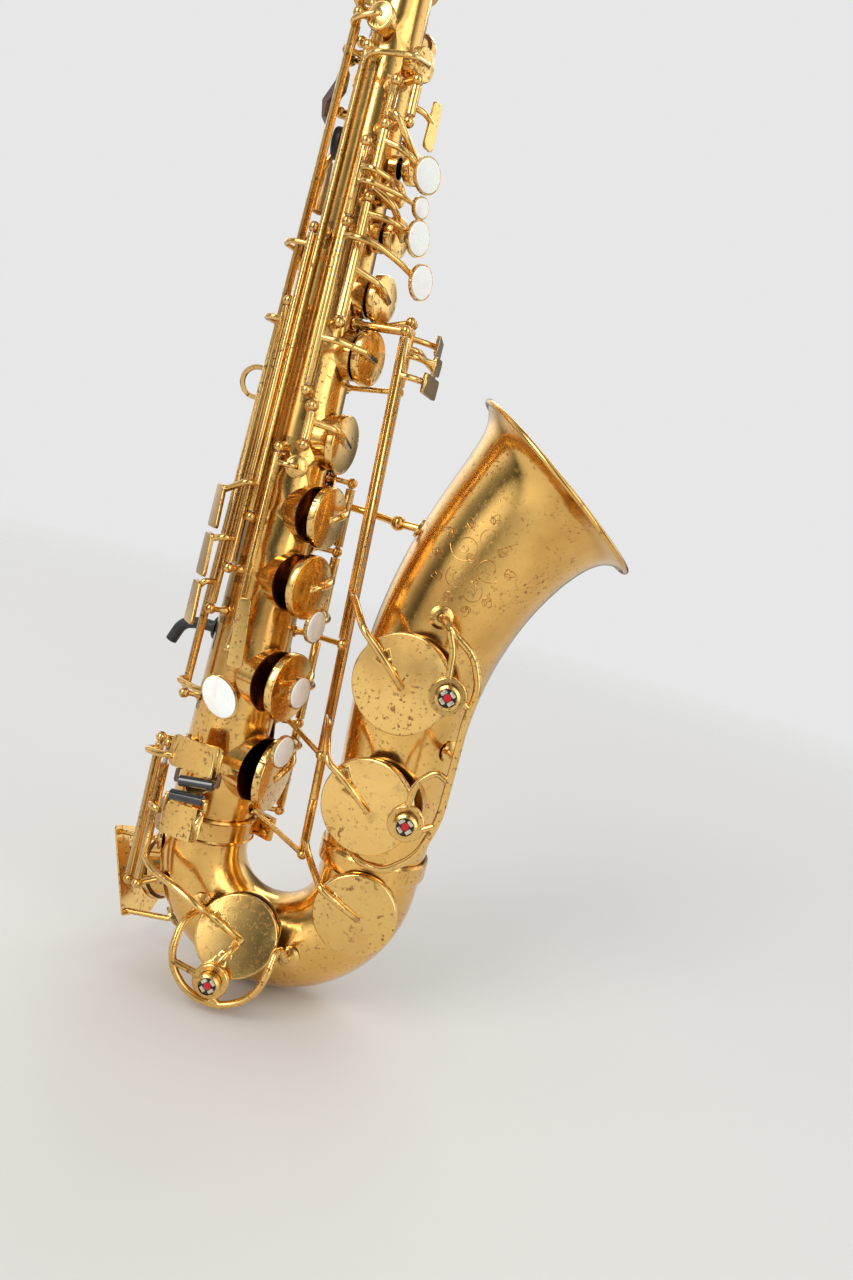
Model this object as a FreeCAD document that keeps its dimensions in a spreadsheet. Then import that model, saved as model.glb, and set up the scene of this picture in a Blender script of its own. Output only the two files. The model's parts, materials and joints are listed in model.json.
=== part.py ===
import FreeCAD, Part
import math
import os
import Sketcher
from FreeCAD import Placement, Rotation, Vector

doc = FreeCAD.newDocument("saxophone")

# Instrument axes while drawing: +Z up the body tube, +X to the bell, -Y to the player's right.
# Azimuths go round the tube from the bell (0) over the player's right (90) to the player (180).
# Every finished sub-part is then placed so that the strap ring's centre is the origin.

driving = [
    ("tubeLength", 478, "body tube, bow joint to neck receiver"),
    ("tubeFoot", 24.8, "outer radius at the bow joint"),
    ("tubeHead", 13.7, "outer radius at the neck receiver"),
    ("wall", 1.0, "sheet brass wall"),
    ("bowBend", 49.2, "centre line radius of the bow"),
    ("bowOutlet", 29.2, "outer radius where the bow meets the bell"),
    ("bowCollar", 16, "straight end of the bow under the bell"),
    ("bellStraight", 89, "straight start of the bell"),
    ("bellBend", 242, "centre line radius of the bell"),
    ("bellTurn", 36, "angle that the bell leans out by"),
    ("bellRim", 61.5, "outer radius of the rim"),
    ("rimBead", 1.7, "rolled edge radius"),
    ("receiverRadius", 16.2, "neck receiver outside"),
    ("receiverHeight", 26, "neck receiver height"),
    ("tenonRadius", 12.3, "neck tenon outside"),
    ("slip", 0.06, "running clearance of tenon and bores"),
    ("neckTip", 6.3, "neck radius at its tip"),
    ("corkRadius", 8.0, "neck cork outside"),
    ("corkLength", 52, "neck cork length"),
    ("mouthLength", 88, "mouthpiece length"),
    ("mouthRadius", 12.6, "mouthpiece shank radius"),
    ("rodRadius", 1.3, "hinge rod"),
    ("hingeBore", 1.35, "bore of a hinge tube"),
    ("hingeRadius", 2.7, "outside of a stack hinge tube"),
    ("slimRadius", 2.35, "outside of a long side key tube"),
    ("ballRadius", 3.1, "ball of a post"),
    ("postRadius", 1.6, "stem of a post"),
    ("chimneyLift", 3.0, "tone hole rim above the tube"),
    ("cupWall", 0.9, "key cup wall"),
    ("cupOverhang", 2.2, "cup radius beyond the tone hole"),
    ("cupHeight", 6.6, "key cup, pad face to crown"),
    ("padDepth", 3.3, "pad thickness"),
    ("padGap", 0.25, "pad face above a closed tone hole"),
    ("pearlRadius", 8.6, "finger pearl"),
    ("armRadius", 1.9, "round key arm"),
    ("ringHole", 7.0, "strap ring hole radius"),
    ("ringWire", 2.6, "strap ring wire"),
    ("ringReach", 31.4, "strap ring centre behind the tube axis"),
    ("ringRise", 261.8, "strap ring centre above the bow joint"),
    ("rollerRadius", 3.1, "little finger roller"),
    ("rollerLength", 20, "little finger roller"),
]

sheet = doc.addObject("Spreadsheet::Sheet", "sizes")
for row, (alias, value, note) in enumerate(driving, start=1):
    sheet.set(f"A{row}", note)
    sheet.set(f"B{row}", str(value))
    sheet.setAlias(f"B{row}", alias)
doc.recompute()


def size(alias):
    return float(sheet.get(alias))


origin = Vector(-size("ringReach"), 0, size("ringRise"))
atOrigin = Placement(origin * -1, Rotation())
nodes = []
hinges = {}


# ---- places on the instrument

def tubeRadius(z):
    return size("tubeFoot") - (size("tubeFoot") - size("tubeHead")) * z / size("tubeLength")


def outward(azimuth):
    angle = math.radians(azimuth)
    return Vector(math.cos(angle), -math.sin(angle), 0)


def spot(azimuth, lift, z):
    """A point lift above the body tube's wall."""
    return outward(azimuth) * (tubeRadius(z) + lift) + Vector(0, 0, z)


def bowPoint(turn):
    angle = math.radians(turn)
    bend = size("bowBend")
    return Vector(bend * (1 - math.cos(angle)), 0, -bend * math.sin(angle))


def bowRadius(turn):
    return size("tubeFoot") + (size("bowOutlet") - size("tubeFoot")) * turn / 180


def bellPoint(run):
    """Centre, direction and lean of the bell at run millimetres from its lower end."""
    base = Vector(2 * size("bowBend"), 0, size("bowCollar"))
    straight = size("bellStraight")
    if run <= straight:
        return base + Vector(0, 0, run), Vector(0, 0, 1), 0.0
    lean = (run - straight) / size("bellBend")
    bend = size("bellBend")
    centre = base + Vector(bend * (1 - math.cos(lean)), 0, straight + bend * math.sin(lean))
    return centre, Vector(math.sin(lean), 0, math.cos(lean)), math.degrees(lean)


def bellRadius(z):
    """Outer radius over the bell's straight part."""
    return size("bowOutlet") + 0.4 + (z - size("bowCollar")) * 0.052


# ---- document helpers

def add(kind, label, **settings):
    """A document object. Text settings are expressions, all others plain values."""
    item = doc.addObject(kind, label)
    item.Label = label
    for name, value in settings.items():
        if isinstance(value, str):
            item.setExpression(name, value)
        else:
            setattr(item, name, value)
    return item


def finish(item, name):
    """Names a finished sub-part and sets it in the part's own frame."""
    item.Label = name
    item.Placement = atOrigin.multiply(item.Placement)
    nodes.append(item)
    return item


def feature(name, solids):
    """A sub-part whose shape is worked out here from the sheet's sizes."""
    item = doc.addObject("Part::Feature", name)
    item.Shape = solids[0] if len(solids) == 1 else Part.makeCompound(solids)
    return finish(item, name)


def along(point, direction):
    """Placement that turns local +Z to direction."""
    return Placement(point, Rotation(Vector(0, 0, 1), direction))


def loft(label, stations):
    """Solid through circles. A station is a point, a lean from +Z to +X and a radius expression."""
    circles = []
    for number, (point, lean, radius) in enumerate(stations):
        circle = add("Part::Circle", f"{label}_ring{number}", Radius=radius)
        circle.Placement = Placement(point, Rotation(Vector(0, 1, 0), lean))
        circles.append(circle)
    return add("Part::Loft", label, Sections=circles, Solid=True)


def rod(start, end, radius):
    return Part.makeCylinder(radius, (end - start).Length, start, end - start)


def pipe(points, radius, ease=0.42):
    """Round bar along straight runs joined by tangent arcs."""
    edges = []
    here = points[0]
    for before, corner, after in zip(points, points[1:], points[2:]):
        inward = (before - corner).normalize()
        onward = (after - corner).normalize()
        half = inward.getAngle(onward) / 2
        if half > math.radians(88):
            continue
        reach = ease * min((before - corner).Length, (after - corner).Length)
        first = corner + inward * reach
        last = corner + onward * reach
        middle = (inward + onward).normalize()
        bend = reach * math.tan(half)
        crown = corner + middle * (reach / math.cos(half) - bend)
        edges.append(Part.makeLine(here, first))
        edges.append(Part.Arc(first, crown, last).toShape())
        here = last
    edges.append(Part.makeLine(here, points[-1]))
    circle = Part.makeCircle(radius, points[0], points[1] - points[0])
    return Part.Wire(edges).makePipeShell([Part.Wire(circle)], True, False)


def turned(profile, place):
    """Solid of revolution about local Z from a closed list of (radius, height) points and arcs."""
    edges = []
    for start, end in zip(profile, profile[1:] + profile[:1]):
        a = Vector(start[0], 0, start[1])
        b = Vector(end[0], 0, end[1])
        if len(end) == 4:
            edges.append(Part.Arc(a, Vector(end[2], 0, end[3]), b).toShape())
        else:
            edges.append(Part.makeLine(a, b))
    solid = Part.Face(Part.Wire(edges)).revolve(Vector(), Vector(0, 0, 1), 360)
    solid = Part.makeSolid(solid) if solid.ShapeType != "Solid" else solid
    solid.Placement = place
    return solid


def dome(radius, low, high):
    """Profile entry for a ball-shaped crown that rises from low at that radius to high on the axis."""
    rise = high - low
    ball = (radius ** 2 + rise ** 2) / (2 * rise)
    return 0, high, radius / 2, high - ball + math.sqrt(ball ** 2 - radius ** 2 / 4)


def plate(outline, thickness, place, edge=0.35):
    """Rounded sheet from an outline of local x, y points, spread along local Z."""
    points = [Vector(x, y, 0) for x, y in outline]
    points.append(points[0])
    solid = Part.Face(Part.makePolygon(points)).extrude(Vector(0, 0, thickness))
    upright = [e for e in solid.Edges if abs(e.Length - thickness) < 1e-6]
    solid = solid.makeFillet(2.2, upright)
    solid = solid.makeFillet(edge, [e for e in solid.Edges if e.Vertexes[0].Point.z > thickness / 2
                                    and e.Vertexes[-1].Point.z > thickness / 2])
    solid.Placement = place
    return solid


# ---- key parts

def cup(radius, place):
    wall = size("cupWall")
    crown = size("cupHeight")
    ceiling = size("padDepth") + 0.5
    shoulder = ceiling + 0.8
    profile = [(0, ceiling), (radius - wall, ceiling), (radius - wall, 1.2), (radius, 1.2), (radius, shoulder),
               (radius - 1.4, shoulder + 0.9, radius - 0.35, shoulder + 0.62),
               dome(radius - 1.4, shoulder + 0.9, crown)]
    return turned(profile, place)


def pad(radius, place):
    outer = radius - size("cupWall") - 0.1
    low = size("padGap")
    high = size("padDepth") + 0.4
    profile = [(0, low), (outer - 0.6, low), (outer, low + 0.6, outer - 0.18, low + 0.18), (outer, high), (0, high)]
    return turned(profile, place)


def pearlHolder(place):
    outer = size("pearlRadius") + 0.8
    return turned([(0, 0), (outer - 1.5, 0), (outer, 1.2), (outer, 3.0), (outer - 0.7, 3.0), (outer - 0.7, 1.6),
                   (0, 1.6)], place)


def pearl(place, radius=None):
    outer = radius or size("pearlRadius")
    return turned([(0, 1.7), (outer, 1.7), (outer, 3.1), (outer - 0.5, 3.6, outer - 0.15, 3.45),
                   (outer - 3.0, 3.9), (0, 3.9)], place)


def chimneyCup(base, direction, radius):
    """Cup and pad over the tone hole whose rim is centred at base."""
    place = along(base, direction)
    return cup(radius, place), pad(radius, place)


class Rod:
    """Hinge rod from start to end, both points on its axis.

    at() takes a height on an upright rod and a distance from the middle on a cross rod.
    """

    def __init__(self, start, end):
        self.start = start
        self.end = end
        self.axis = (end - start).normalize()
        self.upright = abs(end.z - start.z) > 1

    def at(self, place):
        if not self.upright:
            return (self.start + self.end) * 0.5 + self.axis * place
        step = (place - self.start.z) / (self.end.z - self.start.z)
        return self.start + (self.end - self.start) * step

    def solid(self):
        return rod(self.start, self.end, size("rodRadius"))


def tubeRod(azimuth, lift, low, high):
    return Rod(spot(azimuth, lift, low), spot(azimuth, lift, high))


def crossRod(azimuth, lift, z, half):
    centre = spot(azimuth, lift, z)
    side = Vector(0, 0, 1).cross(outward(azimuth))
    return Rod(centre - side * half, centre + side * half)


def key(name, hinge, span, brass, soft, lifted=0, travel=0, radius=None, sense=None):
    """Fuses a key's brass to its hinge tube, opens it to its rest and notes its hinge.

    lifted is the angle from closed to rest, travel the angle from rest to its stop.
    sense is the point and direction that show which way the key opens.
    """
    low, high = span
    tube = rod(hinge.at(low), hinge.at(high), radius or size("hingeRadius"))
    body = tube.fuse(brass)
    reach = hinge.axis * 4
    body = body.cut(rod(hinge.at(low) - reach, hinge.at(high) + reach, size("hingeBore")))
    middle = hinge.at((low + high) / 2)
    point, direction = sense
    opens = 1 if hinge.axis.cross(point - middle).dot(direction) > 0 else -1
    solids = list(body.Solids) + list(soft)
    if lifted:
        for solid in solids:
            solid.rotate(middle, hinge.axis, opens * lifted)
    axis = hinge.axis * (-opens if lifted else opens)
    hinges[name] = (middle - origin, axis, travel)
    return feature(name, solids)


# ---- tone holes of the body tube: azimuth, height, cup radius

toneHoles = {
    "d_key": (26, 51, 21.0),
    "e_key": (35, 103, 19.8),
    "f_key": (38, 160, 18.2),
    "fsharp_key": (31, 199, 17.5),
    "gsharp_key": (16, 240, 16.5),
    "g_key": (12, 288, 15.0),
    "a_key": (12, 320, 13.0),
    "b_key": (11, 353, 10.6),
    "bis_key": (34, 372, 7.4),
    "c_key": (10, 389, 8.2),
    "high_e_key": (28, 440, 8.6),
    "side_c_key": (186, 336, 9.6),
    "side_bb_key": (188, 296, 11.0),
    "high_fsharp_key": (108, 454, 7.6),
    "alt_fsharp_key": (76, 222, 6.2),
    "palm_d_key": (-52, 400, 9.6),
    "palm_eb_key": (-128, 434, 9.2),
    "palm_f_key": (-55, 457, 8.8),
    "body_octave_key": (150, 468, 4.2),
}


def rimOf(name):
    azimuth, z, radius = toneHoles[name]
    return spot(azimuth, size("chimneyLift"), z), outward(azimuth), radius


def chimneys(label, holes):
    """Outer and inner cylinders of drawn tone holes given as name, axis foot, direction, length, radius."""
    outers, inners = [], []
    for name, foot, direction, length, radius in holes:
        place = along(foot, direction)
        outer = add("Part::Cylinder", f"{label}_{name}_chimney", Height=length,
                    Radius=f"{radius} - sizes.cupOverhang + sizes.wall * 0.6")
        inner = add("Part::Cylinder", f"{label}_{name}_bore", Height=length + 1,
                    Radius=f"{radius} - sizes.cupOverhang - sizes.wall * 0.4")
        outer.Placement = place
        inner.Placement = place
        outers.append(outer)
        inners.append(inner)
    return outers, inners


def bodyTube():
    outer = add("Part::Cone", "tube_outside", Radius1="sizes.tubeFoot", Radius2="sizes.tubeHead",
                Height="sizes.tubeLength")
    inner = add("Part::Cone", "tube_bore", Radius1="sizes.tubeFoot - sizes.wall",
                Radius2="sizes.tubeHead - sizes.wall", Height="sizes.tubeLength")
    holes = []
    for name, (azimuth, z, radius) in toneHoles.items():
        foot = Vector(0, 0, z)
        holes.append((name, foot, outward(azimuth), tubeRadius(z) + size("chimneyLift"), radius))
    outers, inners = chimneys("tube", holes)
    walls = add("Part::MultiFuse", "tube_walls", Shapes=[outer] + outers)
    hollow = add("Part::MultiFuse", "tube_hollow", Shapes=[inner] + inners)
    finish(add("Part::Cut", "tube", Base=walls, Tool=hollow), "body_tube")


# ---- bow and bell

lowCTurn = 73.5
lowCTilt = 21
ebTurn = 22
ebTilt = -15
lowCRadius = 23.0
ebRadius = 18.5
csharpRadius = 23.5
bRadius = 26.5
bbRadius = 27.2


def bowSide(turn, tilt, lift):
    """Point and direction on the bow, tilt degrees from the player's right towards its inside."""
    centre = bowPoint(turn)
    angle = math.radians(turn)
    inside = Vector(math.cos(angle), 0, math.sin(angle))
    swing = math.radians(tilt)
    direction = inside * math.sin(swing) + Vector(0, -math.cos(swing), 0)
    return centre + direction * (bowRadius(turn) + lift), direction


def bowOutside(turn, swing, lift):
    """Point and direction on the bow, swing degrees from its outside towards the player's right."""
    angle = math.radians(turn)
    away = Vector(-math.cos(angle), 0, -math.sin(angle))
    lean = math.radians(swing)
    direction = away * math.cos(lean) + Vector(0, -math.sin(lean), 0)
    return bowPoint(turn) + direction * (bowRadius(turn) + lift), direction


def ebSide(lift):
    """Point and direction of the low E flat hole, on the outside of the bow."""
    return bowOutside(ebTurn, ebTilt, lift)


def bellSide(z, tilt, lift):
    """Point and direction on the bell's straight part, tilt degrees towards the body tube."""
    swing = math.radians(tilt)
    direction = Vector(-math.sin(swing), -math.cos(swing), 0)
    return Vector(2 * size("bowBend"), 0, z) + direction * (bellRadius(z) + lift), direction


def bow():
    def stations(inset):
        rings = []
        for turn in range(0, 181, 15):
            radius = f"sizes.tubeFoot + (sizes.bowOutlet - sizes.tubeFoot) * {turn} / 180 - {inset} * sizes.wall"
            rings.append((bowPoint(turn), 180 - turn, radius))
        return rings
    outer = loft("bow_outside", stations(0))
    inner = loft("bow_bore", stations(1))
    collarAt = Vector(2 * size("bowBend"), 0, 0)
    collar = add("Part::Cone", "bow_collar", Radius1="sizes.bowOutlet", Radius2="sizes.bowOutlet + 0.4",
                 Height="sizes.bowCollar")
    throat = add("Part::Cone", "bow_throat", Radius1="sizes.bowOutlet - sizes.wall",
                 Radius2="sizes.bowOutlet + 0.4 - sizes.wall", Height="sizes.bowCollar")
    collar.Placement.Base = collarAt
    throat.Placement.Base = collarAt
    lift = size("chimneyLift")
    holes = []
    for name, (rim, direction), radius, turn in (
            ("low_c", bowSide(lowCTurn, lowCTilt, lift), lowCRadius, lowCTurn),
            ("low_eb", ebSide(lift), ebRadius, ebTurn),
            ("csharp", bowSide(172, 0, lift), csharpRadius, 172)):
        foot = bowPoint(turn)
        holes.append((name, foot, direction, (rim - foot).Length, radius))
    outers, inners = chimneys("bow", holes)
    walls = add("Part::MultiFuse", "bow_walls", Shapes=[outer, collar] + outers)
    hollow = add("Part::MultiFuse", "bow_hollow", Shapes=[inner, throat] + inners)
    finish(add("Part::Cut", "bow_shell", Base=walls, Tool=hollow), "bow")


def bell():
    length = size("bellStraight") + math.radians(size("bellTurn")) * size("bellBend")
    flare = [(0, 0.0), (0.14, 1.7), (0.28, 3.5), (0.42, 5.3), (0.54, 7.0), (0.65, 8.7), (0.75, 10.6), (0.83, 12.6),
             (0.89, 14.7), (0.935, 17.2), (0.965, 20.3), (0.985, 24.6), (1.0, 30.3)]

    def stations(inset):
        rings = []
        for share, growth in flare:
            centre, direction, lean = bellPoint(share * length)
            radius = (f"sizes.bowOutlet + 0.4 + (sizes.bellRim - sizes.rimBead - sizes.bowOutlet - 0.4)"
                      f" * {growth / 30.3:.4f} - {inset} * sizes.wall")
            rings.append((centre, lean, radius))
        return rings
    outer = loft("bell_outside", stations(0))
    inner = loft("bell_bore", stations(1))
    centre, direction, lean = bellPoint(length)
    bead = add("Part::Torus", "bell_bead", Radius1="sizes.bellRim - sizes.rimBead", Radius2="sizes.rimBead")
    bead.Placement = Placement(centre, Rotation(Vector(0, 1, 0), lean))
    lift = size("chimneyLift")
    holes = []
    for name, z, tilt, radius in (("low_b", 57, 6, bRadius), ("low_bb", 127, 4, bbRadius)):
        rim, direction = bellSide(z, tilt, lift)
        foot = Vector(2 * size("bowBend"), 0, z)
        holes.append((name, foot, direction, (rim - foot).Length, radius))
    outers, inners = chimneys("bell", holes)
    walls = add("Part::MultiFuse", "bell_walls", Shapes=[outer] + outers)
    hollow = add("Part::MultiFuse", "bell_hollow", Shapes=[inner] + inners)
    shell = add("Part::Cut", "bell_shell", Base=walls, Tool=hollow)
    finish(add("Part::Fuse", "bell_with_bead", Base=shell, Tool=bead), "bell")


# ---- hinge rods and the posts that hold them

rods = {
    "lower": tubeRod(-14, 14, 24, 221),
    "upper": tubeRod(68, 12, 300, 424),
    "upper_outer": tubeRod(84, 12, 262, 391),
    "gsharp": tubeRod(74, 12, 234, 255),
    "side_e": tubeRod(112, 9, 190, 438),
    "side_c": tubeRod(125, 9, 160, 345),
    "side_bb": tubeRod(138, 9, 135, 306),
    "side_f": tubeRod(151, 9, 84, 457),
    "trill": tubeRod(100, 8, 118, 230),
    "finger_outer": Rod(Vector(-33.5, -20, -29), Vector(-33.5, -20, 57)),
    "finger_inner": Rod(Vector(-26.5, -27, -27), Vector(-26.5, -27, 57)),
    "table_bb": Rod(Vector(52.4, -16, 134), Vector(44.8, -16, 306)),
    "table_b": Rod(Vector(55.4, -9.4, 68), Vector(44.8, -9.4, 306)),
    "table_csharp": Rod(Vector(58.2, -2.8, 6), Vector(44.6, -2.8, 313)),
    "table_gsharp": Rod(Vector(46.2, 3.8, 276), Vector(44.6, 3.8, 313)),
    "front_f": tubeRod(46, 14, 407, 428),
    "palm_d": crossRod(-82, 8, 380, 8),
    "palm_eb": crossRod(-138, 8, 414, 8),
    "palm_f": crossRod(-78, 8, 432, 8),
    "octave": crossRod(180, 8, 440, 5.9),
    "pip": crossRod(-136, 7, 452, 7),
    "rocker": crossRod(180, 9, 466, 5.6),
}

# Posts that stand on the tube under a rod: the rod and the heights, or ends, that they hold it at.
tubePosts = {
    "lower": (24, 78, 131, 181, 221),
    "upper": (300, 365, 402, 424),
    "upper_outer": (262, 350, 391),
    "gsharp": (234, 255),
    "side_e": (190, 438),
    "side_c": (160, 345),
    "side_bb": (135, 306),
    "side_f": (84, 457),
    "trill": (118, 230),
    "front_f": (407, 428),
    "palm_d": (-8, 8),
    "palm_eb": (-8, 8),
    "palm_f": (-8, 8),
    "octave": (-5.9, 5.9),
    "pip": (-7, 7),
    "rocker": (-5.6, 5.6),
}


def post(foot, hinge, place):
    """Turned post from foot to a ball on the rod."""
    centre = hinge.at(place)
    rise = centre - foot
    base = Part.makeCylinder(3.6, 1.0, foot, rise)
    waist = Part.makeCone(2.6, size("postRadius"), 2.4, foot + rise.normalize() * 1.0, rise)
    stem = rod(foot, centre, size("postRadius"))
    ball = Part.makeSphere(size("ballRadius"), centre)
    reach = hinge.axis * 5
    return base.fuse([waist, stem, ball]).cut(rod(centre - reach, centre + reach, size("rodRadius")))


def posts():
    solids = []
    for name, places in tubePosts.items():
        hinge = rods[name]
        for place in places:
            centre = hinge.at(place)
            outside = Vector(centre.x, centre.y, 0).normalize()
            foot = outside * (tubeRadius(centre.z) + 0.05) + Vector(0, 0, centre.z)
            solids.append(post(foot, hinge, place))
    shelf = 0.3
    for name, place, foot in (
            ("finger_outer", 57, spot(150, shelf, 57)), ("finger_inner", 57, spot(128, shelf, 57)),
            ("finger_outer", -29, Vector(-19.4, -13.2, -27)), ("finger_inner", -27, Vector(-15.6, -18.6, -24)),
            ("table_bb", 134, spot(-36, shelf, 131)), ("table_b", 68, spot(-40, shelf, 84)),
            ("table_csharp", 6, spot(10, shelf, 25)), ("table_bb", 306, spot(30, shelf, 304.5)),
            ("table_b", 306, spot(8, shelf, 304.5)), ("table_csharp", 313, spot(-14, shelf, 304)),
            ("table_gsharp", 313, spot(-36, shelf, 304)), ("table_gsharp", 276, spot(-30, shelf, 272))):
        solids.append(post(foot, rods[name], place))
    feature("ball_posts", solids)
    feature("pivot_rods", [hinge.solid() for hinge in rods.values()])


# ---- keys

def cupArm(hinge, place, rim, direction, radius, via=(), wide=None):
    """Round arm from the hinge, over the cup's shoulder, to its crown."""
    crown = size("cupHeight")
    start = hinge.at(place)
    last = via[-1] if via else start
    side = last - rim
    side = (side - direction * side.dot(direction)).normalize()
    shoulder = rim + direction * (crown + 1.3) + side * (radius * 0.8)
    end = rim + direction * (crown - 0.1) - side * (radius * 0.12)
    return pipe([start, *via, shoulder, end], wide or size("armRadius"))


def pearlTouch(hinge, place, centre, facing, via=(), wide=None):
    """Pearl, its holder and the arm that carries it."""
    normal = outward(facing)
    seat = along(centre - normal * 3.6, normal)
    arm = pipe([hinge.at(place), *via, centre - normal * 3.2], wide or 1.7)
    return [pearlHolder(seat), arm], pearl(seat)


def stackKey(name, rodName, span, armAt, touch=None, lifted=0, travel=0, via=()):
    """Key with a cup over a hole of the body tube and, if it has one, a pearl."""
    hinge = rods[rodName]
    rim, direction, radius = rimOf(name)
    brassCup, leather = chimneyCup(rim, direction, radius)
    brass = [brassCup, cupArm(hinge, armAt, rim, direction, radius, via)]
    soft = [leather]
    if touch:
        place, centre, facing, path = touch
        metal, button = pearlTouch(hinge, place, centre, facing, path)
        brass += metal
        soft.append(button)
    key(name, hinge, span, brass, soft, lifted, travel, sense=(rim, direction))


def lowerStack():
    lift = 17.0
    stackKey("d_key", "lower", (27.4, 74.6), 60, (68, spot(49, 20.5, 70.5), 36, [spot(12, lift, 69)]), 13, 13)
    stackKey("e_key", "lower", (81.4, 127.6), 112, (105, spot(45, 20.1, 104), 36, [spot(14, lift, 105)]), 13, 13)
    stackKey("f_key", "lower", (134.4, 177.6), 167, (146, spot(43, 19.4, 141), 34, [spot(12, lift, 144)]), 13, 13)
    stackKey("fsharp_key", "lower", (184.4, 217.6), 206, lifted=12, travel=12)


def upperStack():
    stackKey("gsharp_key", "gsharp", (237.4, 251.6), 247, lifted=0, travel=16, via=[spot(50, 15, 246)])
    stackKey("g_key", "upper_outer", (265.4, 346.6), 290,
             (343, spot(14, 29.5, 331.5), 22, [spot(72, 20.5, 342), spot(54, 22, 341), spot(30, 24, 336)]), 9, 9,
             via=[spot(66, 16, 290), spot(36, 15, 289)])
    stackKey("a_key", "upper", (303.4, 361.6), 329, (357, spot(18, 23.6, 353), 21, [spot(44, 19, 356)]), 10, 10,
             via=[spot(40, 14, 325)])
    stackKey("b_key", "upper", (368.4, 398.6), 371, (394, spot(23, 23, 384), 28, [spot(46, 19, 391)]), 11, 11,
             via=[spot(44, 15, 365)])
    stackKey("c_key", "upper", (405.4, 420.6), 409, lifted=12, travel=12,
             via=[spot(60, 18, 406), spot(44, 15.5, 397)])
    bis()


def bis():
    """Small B flat key with a half-size pearl between the first two fingers."""
    hinge = rods["upper_outer"]
    rim, direction, radius = rimOf("bis_key")
    brassCup, leather = chimneyCup(rim, direction, radius)
    normal = outward(26)
    seat = along(spot(18, 21.1, 368.5) - normal * 3.6, normal)
    holder = turned([(0, 0), (4.9, 0), (5.9, 1.0), (5.9, 3.0), (5.3, 3.0), (5.3, 1.6), (0, 1.6)], seat)
    arm = cupArm(hinge, 378, rim, direction, radius, [spot(72, 19.5, 377), spot(52, 17, 375)], 1.5)
    brass = [brassCup, holder, arm,
             pipe([hinge.at(371), spot(72, 20, 370), spot(40, 20, 369), spot(18, 18.4, 368.5)], 1.4)]
    key("bis_key", hinge, (353.4, 387.6), brass, [leather, pearl(seat, 5.2)], 9, 9, sense=(rim, direction))


def facingPlate(centre, facing, tall, wide, thick=1.8, tilt=0, skew=0):
    """Rounded touch plate: tall along the tube, wide round it, its outer face at centre."""
    turnOut = Rotation(Vector(0, 0, 1), -facing)
    stand = turnOut.multiply(Rotation(Vector(0, 1, 0), 90 + tilt)).multiply(Rotation(Vector(0, 0, 1), skew))
    outline = [(-tall / 2, -wide / 2 * 0.8), (tall / 2, -wide / 2), (tall / 2, wide / 2), (-tall / 2, wide / 2 * 0.8)]
    return plate(outline, thick, Placement(centre - stand.multVec(Vector(0, 0, thick)), stand))


def sideKeys():
    slim = size("slimRadius")
    for name, rodName, span, cupAt, cupVia, touchAt, touchZ in (
            ("high_e_key", "side_e", (193.4, 434.6), 431, [spot(96, 18, 432), spot(60, 18, 436)], 208, 192),
            ("side_c_key", "side_c", (163.4, 341.6), 336, [spot(140, 15.5, 336), spot(160, 15.5, 336)], 176, 165),
            ("side_bb_key", "side_bb", (138.4, 302.6), 296, [spot(146, 16, 296), spot(162, 15.5, 296)], 150, 138)):
        hinge = rods[rodName]
        rim, direction, radius = rimOf(name)
        brassCup, leather = chimneyCup(rim, direction, radius)
        touch = facingPlate(spot(143, 19.6, touchZ - 1), 148, 24, 14, 2.2)
        arm = pipe([hinge.at(touchAt), hinge.at(touchAt) + outward(130) * 8, spot(141, 18.2, touchZ + 8)], 1.8)
        brass = [brassCup, cupArm(hinge, cupAt, rim, direction, radius, cupVia, 1.5), touch, arm]
        key(name, hinge, span, brass, [leather], 0, 14, slim, sense=(rim, direction))

    hinge = rods["side_f"]
    rim, direction, radius = rimOf("high_fsharp_key")
    brassCup, leather = chimneyCup(rim, direction, radius)
    normal = outward(92)
    seat = along(spot(92, 21.0, 93.5) - normal * 3.6, normal)
    oval = FreeCAD.Matrix()
    oval.scale(12.4, 8.6, 1.0)
    holder = turned([(0, 0), (0.9, 0), (1.05, 1.2), (1.05, 2.4), (0, 2.4)], Placement()).transformGeometry(oval)
    inlay = turned([(0, 2.5), (0.95, 2.5), (0.95, 3.6), (0.8, 4.1, 0.9, 3.95), (0.5, 4.3), (0, 4.3)],
                   Placement()).transformGeometry(oval)
    lean = seat.multiply(Placement(Vector(), Rotation(Vector(0, 0, 1), 128)))
    holder.Placement = lean
    inlay.Placement = lean
    brass = [brassCup, cupArm(hinge, 449, rim, direction, radius, [spot(138, 14, 450)], 1.5), holder,
             pipe([hinge.at(93), spot(140, 17, 93), spot(112, 18, 93), spot(94, 17.6, 93.5)], 1.8)]
    key("high_fsharp_key", hinge, (87.4, 453.6), brass, [leather, inlay], 0, 16, slim, sense=(rim, direction))

    hinge = rods["trill"]
    rim, direction, radius = rimOf("alt_fsharp_key")
    brassCup, leather = chimneyCup(rim, direction, radius)
    spatula = facingPlate(spot(90, 16.5, 129), 90, 38, 8.5, 2.0, skew=4)
    brass = [brassCup, cupArm(hinge, 222, rim, direction, radius, wide=1.5), spatula,
             pipe([hinge.at(132), spot(97, 13, 132), spot(92, 15, 131)], 1.8)]
    key("alt_fsharp_key", hinge, (121.4, 226.6), brass, [leather], 0, 12, slim, sense=(rim, direction))


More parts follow.
